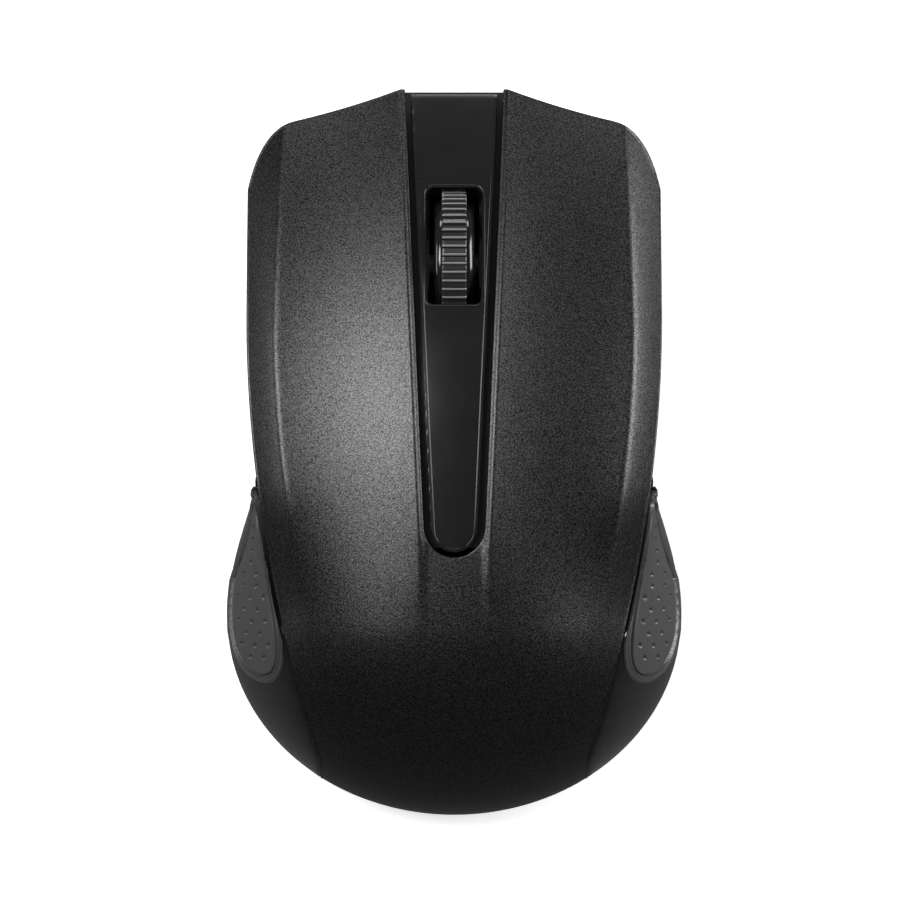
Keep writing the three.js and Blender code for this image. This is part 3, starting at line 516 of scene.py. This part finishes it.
def bead(name, path, radius, closed):
    """A fine raised line on the strip: a round section carried along plan points."""
    path = np.array(path, float)
    if closed:
        along = np.roll(path, -1, axis=0) - np.roll(path, 1, axis=0)
    else:
        along = np.gradient(path, axis=0)
    along = unit(along)
    side = np.stack([-along[:, 1], along[:, 0]], axis=1)
    turn = np.linspace(0, 2 * np.pi, 10, endpoint=False)
    height = spine(path[:, 1]) - STRIP_CROWN * (path[:, 0] / strip_half(path[:, 1] + 0.4)) ** 2
    points = []
    for (x, y), (sx, sy), z in zip(path, side, height):
        across = radius * np.cos(turn)
        rise = radius * (np.sin(turn) - 0.35)
        points.append(np.stack([x + sx * across, y + sy * across, z + rise], axis=1))
    points = np.array(points)
    rows, columns = points.shape[:2]
    faces = grid_faces(rows, columns, closed=True, ring=closed)
    if not closed:
        faces += end_caps(rows, columns)
    return make_object(name, points.reshape(-1, 3), faces)


def window_path(grow):
    """Rounded rectangle round the wheel window."""
    x, rear, front = WINDOW[1] + grow, WINDOW[2] - grow, WINDOW[3] + grow
    r = WINDOW_CORNER + grow
    corners = [
        (x - r, front - r, 0),
        (-x + r, front - r, 90),
        (-x + r, rear + r, 180),
        (x - r, rear + r, 270),
    ]
    points = []
    for cx, cy, first in corners:
        for angle in np.radians(np.linspace(first, first + 90, 10)):
            points.append((cx + r * math.cos(angle), cy + r * math.sin(angle)))
    # the long sides get stations of their own, so that the line follows the strip's curve
    filled = []
    for a, b in zip(points, points[1:] + points[:1]):
        count = max(1, int(math.dist(a, b) / 0.6))
        for k in range(count):
            filled.append(tuple(p + (q - p) * k / count for p, q in zip(a, b)))
    return filled


def strip_edge_path(inset):
    """From beside the window back round the strip's end and forward on the other side."""
    radius = STRIP[1] - inset
    centre = STRIP[0] + STRIP[1]
    y = np.linspace(40.0, centre, 90)[:-1]
    side = tapered(y, STRIP) - inset
    angle = np.linspace(0, np.pi, 40)
    half = tapered(centre, STRIP) - inset
    end = np.stack([half * np.cos(angle), centre - radius * np.sin(angle)], axis=1)
    right = np.stack([side, y], axis=1)
    left = right[::-1] * np.array([-1, 1])
    return np.vstack([right, end, left])


def build_channel_floor():
    """Hidden flange of the strip: it closes the channels below the buttons' inner edges."""
    y = np.linspace(STRIP[0] + 0.6, NOSE_Y - 0.25, 90)
    half = np.where(y < NOSE_Y - 2, strip_half(y) + 2.0, tapered(y, CHANNEL) - 0.01)
    x = half[:, None] * np.linspace(-1, 1, 9)[None, :]
    sag = 3.2 + 0.016 * np.maximum(0, y + 12)
    rear, front, room_half = FLANGE_OPENING
    room = (y > rear) & (y < front)
    columns = x.shape[1]
    z = np.repeat((spine(y) - sag)[:, None], columns, 1)
    points = np.stack([x, np.repeat(y[:, None], columns, 1), z], axis=2)
    points[room, :, 0] = np.sign(points[room, :, 0]) * np.maximum(np.abs(points[room, :, 0]), room_half)
    faces = faces_round(x.shape, lambda i, j: room[i] and room[i + 1] and 2 <= j <= 5)
    flange = make_object("strip_flange", points.reshape(-1, 3), faces)
    thicken(flange, FLANGE_WALL)
    apply_modifiers(flange)
    return flange


# ---- Side frame and grips -------------------------------------------------------------------
def frame_outer(y):
    return mix(frame_half(y), SHELL_HALF - FRAME_INSET, ramp(y, 15, 34))


def frame_rim(y):
    """Where the frame's outer side ends at the top: distance from the middle, and height."""
    outer = frame_outer(y)
    reach = np.minimum(shell_half(y) + FRAME_GAP, outer)
    flush = shell_top(shell_half(y), y) - 0.15
    tucked = shell_edge(y) + mix(-0.5, FRAME_TUCK, ramp(y, 3, 8))
    return reach, mix(flush, tucked, ramp(y, -7.5, -3.5))


def flare(y, t):
    """Point of the frame's outer side: t is 0 at the rim and 1 on the widest line."""
    reach, rim = frame_rim(y)
    x = reach + (frame_outer(y) - reach) * t
    z = WIDEST_Z + (rim - WIDEST_Z) * (1 - t ** 1.4) ** 0.8
    return x, z


def off_side(y, t, height):
    """Point at a height over the frame's outer side, or sunk into it below 0."""
    x, z = flare(y, t)
    before_x, before_z = flare(y, np.clip(t - 0.01, 0, 1))
    after_x, after_z = flare(y, np.clip(t + 0.01, 0, 1))
    dx, dz = after_x - before_x, after_z - before_z
    length = np.maximum(np.hypot(dx, dz), 1e-9)
    return x - height * dz / length, z + height * dx / length


def grip_ends(grow):
    """Front and rear end of the grip's outline, grown by an amount."""
    return GRIP_TIP_Y + grow * 0.7, GRIP_TAIL_Y - grow


def teardrop(y, grow=0.0):
    """Middle line and half width of the grip at a station, the outline grown by an amount."""
    tip, tail = grip_ends(grow)
    s = np.clip((tip - y) / (tip - tail), 0, 1)
    middle = 28.1 + 3.6 * s * (1 - s) - 0.8 * s ** 4
    half = (4.95 + grow) * s ** 0.8 * np.sqrt(1 - s ** 5)
    reach, _ = frame_rim(y)
    share = 0.4 + 0.53 * ramp(s, 0, 0.6) + 0.04 * grow
    stop = np.minimum(middle + half, reach + (frame_outer(y) - reach) * share)
    start = np.minimum(np.maximum(middle - half, reach + 0.05), stop - 0.04)
    return (start + stop) / 2, (stop - start) / 2


def inside_teardrop(x, y, grow, soft):
    """1 inside the grown outline, 0 outside it, with a soft edge of the given width."""
    middle, half = teardrop(y, grow)
    return ramp(half - np.abs(x - middle), -soft / 2, soft / 2)


def frame_side_points(y, t):
    """Outer side with the pocket that the grip sits in."""
    x, _ = flare(y, t)
    in_reach = ramp(y, GRIP_TAIL_Y, GRIP_TAIL_Y + 1.5) * (1 - ramp(y, GRIP_TIP_Y - 1.5, GRIP_TIP_Y))
    sink = POCKET_DEPTH * inside_teardrop(x, y, 0.5, 0.4) * in_reach
    return off_side(y, t, -sink)


def side_sections():
    """From the tail along the flank to the nose corner, closest together along the grip."""
    t = np.linspace(1, 0, FRAME_SAMPLES) ** 0.8
    side_y = np.concatenate([
        np.linspace(FRAME_END_Y, -34.5, 60)[:-1],
        np.linspace(-34.5, -4, 230),
        np.linspace(-4, 34.5, 60)[1:],
    ])
    sections = []
    for y in side_y:
        x, z = frame_side_points(np.full(FRAME_SAMPLES, y), t)
        sections.append(frame_section(x, z, float(frame_outer(y)), lambda d, y=y: (d, y)))
    return sections


def upright_section(rim, put):
    """Section with a straight outer side, as the frame has round the nose."""
    z = WIDEST_Z + (rim - WIDEST_Z) * np.linspace(0, 1, FRAME_SAMPLES)
    return frame_section(np.zeros(FRAME_SAMPLES), z, 0.0, put)


def corner_sections(corner):
    """Round the nose corner, each section square to the line of corner points."""
    sections = []
    for point, tangent in zip(corner, unit(np.gradient(corner, axis=0))):
        rim = float(shell_edge(min(point[1] + 2.5, NOSE_Y))) + FRAME_TUCK
        inward = np.array([-tangent[1], tangent[0]])
        sections.append(upright_section(rim, lambda d, p=point, n=inward: tuple(p - n * d)))
    return sections


def nose_sections(corner_end):
    """Straight across the nose, from the corner to the middle plane."""
    rim = float(shell_edge(NOSE_Y)) + FRAME_TUCK
    stations = np.linspace(corner_end - 0.8, 0.0, 9)
    return [upright_section(rim, lambda d, x=x: (x, NOSE_Y - FRAME_INSET + d)) for x in stations]


def build_frame():
    corner = button_outline(FRAME_INSET)
    corner = corner[corner[:, 1] > 34.9][::-3]
    right = np.array(side_sections() + corner_sections(corner) + nose_sections(corner[-1][0]))
    left = right[:-1][::-1] * np.array([-1, 1, 1])
    points = np.concatenate([right, left])
    rows, columns = points.shape[:2]
    faces = grid_faces(rows, columns, closed=True) + end_caps(rows, columns)
    shell = make_object("frame_shell", points.reshape(-1, 3), faces)
    sharpen(shell, 45)
    return shell


def frame_section(x, z, base, put):
    """Closed cross-section; x is the distance of the outer side, put places it in plan."""
    foot = FLOOR_TOP
    outside = [(base - 0.3, foot), (base - 0.1, foot + 0.08), (base, foot + 0.3), (base, foot + 2.4)]
    outside += list(zip(x, z))
    rim_x, rim_z = x[-1], z[-1]
    inside = [(rim_x - 0.25, rim_z - 0.05), (rim_x - FRAME_WALL, rim_z - 0.4)]
    back = [(a, b) for a, b in zip(x[::-16], z[::-16]) if b > foot + 4]
    inside += [(min(a, base) - FRAME_WALL - 0.9, b - 1.6) for a, b in back]
    inside += [(base - FRAME_WALL, foot + 0.2)]
    return [(*put(d), h) for d, h in outside + inside]


def depth_inside(x, y):
    """Plan distance inside the pitted pad's outline, negative outside it."""
    outline_y = GRIP_TIP_Y + (GRIP_TAIL_Y - GRIP_TIP_Y) * np.sin(np.linspace(0, np.pi / 2, 260))
    middle, half = teardrop(outline_y)
    outline = np.concatenate([
        np.stack([middle - half, outline_y], axis=1),
        np.stack([middle + half, outline_y], axis=1),
    ])
    near = [
        np.hypot(a[:, None] - outline[:, 0], b[:, None] - outline[:, 1]).min(axis=1)
        for a, b in zip(x, y)
    ]
    middle, half = teardrop(y)
    inside = (np.abs(x - middle) < half) & (y < GRIP_TIP_Y) & (y > GRIP_TAIL_Y)
    return np.where(inside, 1, -1) * np.array(near)


def grip_height(x, y):
    """Height of the grip over the frame: a smooth collar, a groove and the pitted pad."""
    edge = depth_inside(x, y)
    collar = 0.42 * ramp(edge, -GRIP_COLLAR, -GRIP_COLLAR + 0.4)
    groove = 0.55 * np.exp(-((edge - 0.15) / 0.15) ** 2)
    welt = 0.26 * np.exp(-((edge + 0.22) / 0.16) ** 2)
    return collar + welt - groove - pits(x, y)


def grip_plan(inset, rows=260, columns=110):
    """Plan grid of the grip and its collar, drawn in by the inset."""
    grow = GRIP_COLLAR - inset
    tip, tail = grip_ends(grow)
    v = np.linspace(0, 1, rows)
    y = tip - 0.05 + (tail - tip + 0.07) * np.sin(v * np.pi / 2) ** 1.1
    middle, half = teardrop(y, grow)
    u = np.linspace(-1, 1, columns)
    u = np.sin(u * np.pi / 2) * 0.5 + u * 0.5
    return middle[:, None] + half[:, None] * u[None, :], np.repeat(y[:, None], columns, 1)


def lifted(x, y, height):
    """Points at a height over the frame's outer side, held close to its widest outline."""
    reach, _ = frame_rim(y)
    outer = frame_outer(y)
    t = np.clip((x - reach) / np.maximum(outer - reach, 0.2), 0, 0.995)
    out, up = off_side(y, t, height)
    most = np.minimum(outer + 0.1, HALF_WIDTH - 0.02)
    return np.stack([np.minimum(out, most), y, up], axis=-1)


def build_grip(name, side):
    x, y = grip_plan(0.1)
    top = lifted(x, y, np.maximum(grip_height(x, y), 0.05))
    edge = perimeter(*x.shape)
    rims = []
    for inset, rise in ((0.04, 0.0), (0.0, -0.1), (0.1, -0.45)):
        px, py = (grid.reshape(-1)[edge] for grid in grip_plan(inset))
        rims.append(lifted(px, py, np.full(px.shape, rise)))
    under = lifted(*grip_plan(0.3), np.full(x.shape, -0.6))
    if side < 0:
        top, under, *rims = flip(top, under, *rims)
    grip = slab(name + "_insert", top, under, rims)
    sharpen(grip, 75)
    return grip


def pits(x, y):
    """Depth of the staggered drop-shaped pits over the grip."""
    depth = np.zeros(x.shape)
    rows_at = np.arange(GRIP_TIP_Y - 3.6, GRIP_TAIL_Y + 1.6, -PIT_PITCH)
    for row, row_y in enumerate(rows_at):
        middle, half = teardrop(np.array([row_y]))
        count = max(1, int((2 * half[0] - 1.6) / PIT_SPACING) + (row % 2))
        for k in range(count):
            offset = (k - (count - 1) / 2) * PIT_SPACING
            if abs(offset) > half[0] - 0.75:
                continue
            bow = 0.5 * (offset / half[0]) ** 2
            dx = (x - middle[0] - offset) / PIT_SIZE[0]
            dy = (y - row_y - bow) / PIT_SIZE[1]
            depth = np.maximum(depth, PIT_DEPTH * np.sqrt(np.clip(1 - dx * dx - dy * dy, 0, 1)))
    return depth


# ---- Scroll wheel ---------------------------------------------------------------------------
def wheel_centre():
    return (TYRE_LOW + TYRE_HIGH) / 2


def lathe_x(name, profile, segments, radius_of=None):
    """Closed ring about the wheel's axle; profile is (radius, x), radius_of adds the ribs."""
    centre = wheel_centre()
    angles = np.linspace(0, 2 * np.pi, segments, endpoint=False)
    profile = np.array(profile, float)
    points = []
    for angle in angles:
        r = profile[:, 0] + (radius_of(angle, profile) if radius_of else 0)
        points.append(np.stack([
            centre[0] + profile[:, 1],
            centre[1] + r * math.cos(angle),
            centre[2] + r * math.sin(angle),
        ], axis=1))
    points = np.array(points)
    rows, columns = points.shape[:2]
    faces = grid_faces(rows, columns, closed=True, ring=True)
    obj = make_object(name, points.reshape(-1, 3), faces)
    sharpen(obj, 50)
    return obj


def rounded_corner(centre_r, centre_x, radius, start, stop, count=5):
    angles = np.radians(np.linspace(start, stop, count))
    return [(centre_r + radius * math.sin(a), centre_x + radius * math.cos(a)) for a in angles]


def build_tyre():
    outer = (TYRE_HIGH[1] - TYRE_LOW[1]) / 2 - 0.02
    half = (TYRE_HIGH[0] - TYRE_LOW[0]) / 2
    bore = (HUB_HIGH[1] - HUB_LOW[1]) / 2 - 1.25
    ribs = 54
    profile = [(bore, -half), (bore + 1, -half)]
    profile += [(r, -x) for r, x in rounded_corner(outer - 0.3, half - 0.3, 0.3, 0, 90)]
    profile += [(outer, x) for x in np.linspace(-half + 0.5, half - 0.5, 7)]
    profile += rounded_corner(outer - 0.3, half - 0.3, 0.3, 90, 0)
    profile += [(bore + 1, half), (bore, half)]

    def groove(angle, points):
        across = abs((angle * ribs / (2 * np.pi)) % 1.0 - 0.5) / RIB_SHARE
        fall = 1 - math.sqrt(max(0.0, 1 - across * across))
        tread = ramp(points[:, 0], outer - 0.6, outer - 0.25)
        return -RIB_DEPTH * fall * tread

    tyre = lathe_x("tyre_tread", profile, ribs * 16, groove)
    return tyre, outer


def paint_rib_top_highlight(tyre, outer):
    """The tops of the ribs get a lighter finish of their own: a painted highlight."""
    tyre.data.materials.append(FINISHES["rib_top_painted_highlight"])
    _, y, z = wheel_centre() * MM
    for face in tyre.data.polygons:
        if math.hypot(face.center.y - y, face.center.z - z) > (outer - 0.13) * MM:
            face.material_index = 1


def build_hub():
    outer = (HUB_HIGH[1] - HUB_LOW[1]) / 2
    half = (HUB_HIGH[0] - HUB_LOW[0]) / 2 - 0.15
    seat = (TYRE_HIGH[0] - TYRE_LOW[0]) / 2 + 0.05
    bore = 1.6
    dish = [(bore, -half + 0.9), (bore + 1.6, -half + 0.9), (outer - 3.2, -half + 0.5)]
    face = dish + [(outer - 2.4, -half + 0.05), (outer - 1.2, -half)]
    face += [(r, -x) for r, x in rounded_corner(outer - 1.05, half - 1.05, 1.05, 10, 90, 8)]
    face += [(outer, -seat - 0.12), (outer - 0.12, -seat), (outer - 1.25, -seat)]
    profile = face + [(r, -x) for r, x in reversed(face)]
    return lathe_x("hub_flanges", profile, 144)


# ---- Materials ------------------------------------------------------------------------------
def material(name, colour, roughness, metallic=0.0, coat=0.0, specular=0.5):
    """A shader whose constant values sit on its own sockets; the builders below add the detail."""
    made = bpy.data.materials.new(name)
    made.use_nodes = True
    shader = made.node_tree.nodes["Principled BSDF"]
    shader.inputs["Base Color"].default_value = (*colour, 1)
    shader.inputs["Roughness"].default_value = roughness
    shader.inputs["Metallic"].default_value = metallic
    shader.inputs["Specular IOR Level"].default_value = specular
    shader.inputs["Coat Weight"].default_value = coat
    shader.inputs["Coat Roughness"].default_value = 0.08
    return made, shader


def add(made, kind, **settings):
    node = made.node_tree.nodes.new(kind)
    for key, value in settings.items():
        if key in node.inputs:
            node.inputs[key].default_value = value
        else:
            setattr(node, key, value)
    return node


def link(made, source, output, target, socket):
    made.node_tree.links.new(source.outputs[output], target.inputs[socket])


def noise(made, grain_mm, detail=3.0, rough=0.6, stretch=None):
    """Noise in the object's own place, its grains about the given size."""
    place = add(made, "ShaderNodeTexCoord")
    texture = add(made, "ShaderNodeTexNoise", Scale=1 / (grain_mm * MM), Detail=detail, Roughness=rough)
    if stretch:
        mapping = add(made, "ShaderNodeMapping", Scale=stretch)
        link(made, place, "Object", mapping, "Vector")
        link(made, mapping, "Vector", texture, "Vector")
    else:
        link(made, place, "Object", texture, "Vector")
    return texture


def vary(made, shader, socket, texture, low, high, span=(0.3, 0.7)):
    """Drive a number socket between two values by a texture."""
    spread = add(made, "ShaderNodeMapRange", clamp=True)
    for key, value in zip(("From Min", "From Max", "To Min", "To Max"), (*span, low, high)):
        spread.inputs[key].default_value = value
    link(made, texture, "Fac", spread, "Value")
    link(made, spread, "Result", shader, socket)


def tint(made, shader, texture, low, high, span=(0.3, 0.7)):
    """Drive the base colour between two colours by a texture."""
    blend = add(made, "ShaderNodeValToRGB")
    blend.color_ramp.elements[0].position, blend.color_ramp.elements[1].position = span
    blend.color_ramp.elements[0].color = (*low, 1)
    blend.color_ramp.elements[1].color = (*high, 1)
    link(made, texture, "Fac", blend, "Fac")
    link(made, blend, "Color", shader, "Base Color")


def relief(made, shader, texture, depth_mm, strength=1.0):
    """Bump of a real depth."""
    bump = add(made, "ShaderNodeBump", Strength=strength, Distance=depth_mm * MM)
    link(made, texture, "Fac", bump, "Height")
    link(made, bump, "Normal", shader, "Normal")


def grey(level):
    return (level, level, level)


def shell_paint():
    """Black paint with fine metallic flake, which makes it sparkle where it catches the light."""
    made, shader = material("shell_paint", grey(0.045), 0.36, metallic=1.0)
    flake = noise(made, 0.2, 1.0, 0.6)
    tint(made, shader, flake, grey(0.018), grey(0.08), (0.36, 0.66))
    vary(made, shader, "Roughness", flake, 0.32, 0.42)
    relief(made, shader, noise(made, 0.2, 2.0, 0.65), 0.03)
    return made


def plain_plastic(name, level, roughness, grain_mm, depth_mm, spread=0.25, coat=0.0):
    made, shader = material(name, grey(level), roughness, coat=coat)
    grain = noise(made, grain_mm)
    tint(made, shader, grain, grey(level * (1 - spread)), grey(level * (1 + spread)))
    cloud = noise(made, 9.0, 2.0)
    vary(made, shader, "Roughness", cloud, roughness * 0.9, min(1.0, roughness * 1.12))
    relief(made, shader, grain, depth_mm)
    return made


def grip_rubber():
    made, shader = material("grip_rubber", grey(0.038), 0.32)
    grain = noise(made, 0.13, 2.0)
    tint(made, shader, grain, grey(0.028), grey(0.05))
    vary(made, shader, "Roughness", grain, 0.26, 0.38)
    relief(made, shader, grain, 0.012)
    return made


def coloured(name, low, high, roughness, grain_mm, depth_mm, metallic=0.0, coat=0.0, stretch=None):
    made, shader = material(name, low, roughness, metallic, coat)
    grain = noise(made, grain_mm, 3.0, 0.6, stretch)
    tint(made, shader, grain, low, high)
    vary(made, shader, "Roughness", grain, roughness * 0.8, min(1.0, roughness * 1.25))
    relief(made, shader, grain, depth_mm)
    return made


def board_material():
    """Green solder mask, lighter where copper tracks run below it."""
    made, shader = material("board", (0.01, 0.07, 0.03), 0.35, coat=0.3)
    place = add(made, "ShaderNodeTexCoord")
    tracks = add(made, "ShaderNodeTexVoronoi", Scale=450.0, distance="MANHATTAN", feature="F1")
    link(made, place, "Object", tracks, "Vector")
    blend = add(made, "ShaderNodeValToRGB")
    blend.color_ramp.interpolation = "CONSTANT"
    blend.color_ramp.elements[1].position = 0.42
    blend.color_ramp.elements[0].color = (0.012, 0.085, 0.035, 1)
    blend.color_ramp.elements[1].color = (0.02, 0.13, 0.05, 1)
    link(made, tracks, "Distance", blend, "Fac")
    link(made, blend, "Color", shader, "Base Color")
    return made


def clear_material(name, colour, glow=0.0):
    made, shader = material(name, colour, 0.08)
    shader.inputs["Transmission Weight"].default_value = 0.85
    shader.inputs["IOR"].default_value = 1.5
    if glow:
        shader.inputs["Emission Color"].default_value = (*colour, 1)
        shader.inputs["Emission Strength"].default_value = glow
    haze = noise(made, 0.8)
    vary(made, shader, "Roughness", haze, 0.05, 0.14)
    relief(made, shader, haze, 0.004)
    return made


FINISHES = {
    "shell_paint": shell_paint(),
    "satin_black": plain_plastic("satin_black", 0.005, 0.2, 0.25, 0.003),
    "gloss_black": plain_plastic("gloss_black", 0.006, 0.12, 1.5, 0.002),
    "grip_rubber": grip_rubber(),
    "case_plastic": plain_plastic("case_plastic", 0.012, 0.55, 0.35, 0.03),
    "tread_rubber": plain_plastic("tread_rubber", 0.014, 0.3, 0.15, 0.006),
    # light grey for the rib tops of the wheel: a painted highlight
    "rib_top_painted_highlight": plain_plastic("rib_top_painted_highlight", 0.14, 0.25, 0.15, 0.004),
    "nylon": plain_plastic("nylon", 0.32, 0.5, 0.3, 0.01, 0.08),
    "steel": coloured("steel", (0.5, 0.5, 0.49), (0.62, 0.62, 0.6), 0.28, 0.15, 0.006, 1.0, 0.0, (1, 1, 6)),
    "slick_pad": plain_plastic("slick_pad", 0.08, 0.35, 0.6, 0.004, 0.12),
    "cell_wrap": coloured("cell_wrap", (0.02, 0.06, 0.2), (0.03, 0.1, 0.3), 0.25, 2.5, 0.01, 0.4, 0.5),
    "board": board_material(),
    "chip": plain_plastic("chip", 0.015, 0.6, 0.12, 0.012),
    "lens": clear_material("lens", (0.9, 0.92, 0.93)),
    "led": clear_material("led", (0.9, 0.08, 0.05), 0.3),
    "white_plastic": plain_plastic("white_plastic", 0.7, 0.4, 0.3, 0.008, 0.04),
}


def finish_of_nodes():
    """The slot of each CAD node that the record's materials entries list.

    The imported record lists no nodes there, so nothing is found and every CAD node keeps its
    packed material. The slots are in the record's subparts, as node and material_slot.
    """
    found = {}
    for entry in frame["record"].get("materials", []):
        for node in entry.get("nodes", []) or entry.get("parts", []):
            found[node] = entry["slot"]
    return found


def dress(obj, finish):
    obj.data.materials.clear()
    obj.data.materials.append(FINISHES[finish])
    for face in obj.data.polygons:
        face.material_index = 0


# ---- Assembly -------------------------------------------------------------------------------
def place(obj, body, finish, *nodes):
    dress(obj, finish)
    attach(obj, body)
    if nodes:
        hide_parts(*nodes)
    return obj


for name, side in (("left_button", -1), ("right_button", 1)):
    skin = build_button(name, side)
    dress(skin, "shell_paint")
    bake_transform(skin)
    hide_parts(name)
place(build_palm(), "case", "shell_paint", "palm_shell")
place(build_strip(), "case", "satin_black", "centre_strip")
place(build_channel_floor(), "case", "satin_black")
place(bead("window_bead", window_path(0.3), 0.11, True), "case", "gloss_black")
place(bead("strip_bead", strip_edge_path(0.42), 0.09, False), "case", "gloss_black")
place(build_frame(), "case", "gloss_black", "side_frame")
for name, side in (("left_grip", -1), ("right_grip", 1)):
    place(build_grip(name, side), "case", "grip_rubber", name)
tyre, tyre_radius = build_tyre()
place(tyre, "wheel_body", "tread_rubber", "wheel_tyre")
# the rib tops get a painted highlight
paint_rib_top_highlight(tyre, tyre_radius)
place(build_hub(), "wheel_body", "gloss_black", "wheel_hub")

for node, finish in finish_of_nodes().items():
    if node in frame["nodes"] and not frame["nodes"][node].hide_render:
        dress(frame["nodes"][node], finish)


# ---- Floor, light and camera ----------------------------------------------------------------
def build_floor():
    """A pale sheet that runs level under the object, far past the picture."""
    reach, rings, segments, drop = 1.4, 24, 64, 0.15
    vertices = []
    for i in range(rings):
        radius = reach * ((i + 0.3) / rings) ** 1.5
        for j in range(segments):
            angle = 2 * math.pi * j / segments
            vertices.append((radius * math.cos(angle) / MM, radius * math.sin(angle) / MM, -drop))
    faces = grid_faces(rings, segments, closed=True)
    faces.append(tuple(range(segments)))
    floor = make_object("floor", vertices, faces)
    made, shader = material("floor_paper", grey(0.86), 0.7)
    paper = noise(made, 1.2)
    tint(made, shader, paper, grey(0.84), grey(0.88))
    floor.data.materials.append(made)
    shader.inputs["Emission Color"].default_value = (1, 1, 1, 1)
    shader.inputs["Emission Strength"].default_value = 0.55
    floor.visible_glossy = False    # the gloss shows the dark room, as in the studio


def softbox(name, direction, distance, size, power):
    data = bpy.data.lights.new(name, "AREA")
    data.shape = "RECTANGLE"
    data.size, data.size_y = size
    data.energy = power
    light = bpy.data.objects.new(name, data)
    aim = Vector(direction).normalized()
    light.location = Vector((0, 0, 0.02)) + aim * distance
    light.rotation_mode = "QUATERNION"
    light.rotation_quaternion = aim.to_track_quat("Z", "Y")
    bpy.context.collection.objects.link(light)


def build_studio():
    softbox("key_left", (-0.46, 0.27, 0.84), 0.9, (0.42, 0.38), 7.5)
    softbox("fill_right", (0.9, 0.26, 0.36), 0.9, (0.6, 0.55), 11.0)
    softbox("front", (0.0, 0.97, 0.22), 0.9, (0.6, 0.16), 2.6)
    softbox("rim_left", (-0.97, 0.12, 0.14), 0.9, (0.5, 0.2), 1.9)
    world = bpy.data.worlds.new("studio")
    world.use_nodes = True
    dim, seen = 0.13, 1.0           # the room is dark, and what is seen past the floor is white
    background = world.node_tree.nodes["Background"]
    path = world.node_tree.nodes.new("ShaderNodeLightPath")
    spread = world.node_tree.nodes.new("ShaderNodeMapRange")
    spread.inputs["To Min"].default_value, spread.inputs["To Max"].default_value = dim, seen
    world.node_tree.links.new(path.outputs["Is Camera Ray"], spread.inputs["Value"])
    world.node_tree.links.new(spread.outputs["Result"], background.inputs["Strength"])
    background.inputs["Color"].default_value = (1, 1, 1, 1)
    bpy.context.scene.world = world
    bpy.context.scene.view_settings.view_transform = "Standard"


CAMERA_HEIGHT = 1.0
PICTURE_WIDTH = 0.1305              # what the frame spans at the widest outline's height


def build_camera():
    data = bpy.data.cameras.new("camera")
    data.sensor_width = 36.0
    distance = CAMERA_HEIGHT - 0.012
    data.lens = data.sensor_width * distance / PICTURE_WIDTH
    camera = bpy.data.objects.new("camera", data)
    camera.location = (-0.0006, 0.0006, CAMERA_HEIGHT)
    camera.rotation_euler = (0, 0, 0)
    bpy.context.collection.objects.link(camera)
    bpy.context.scene.camera = camera


build_floor()
build_studio()
build_camera()
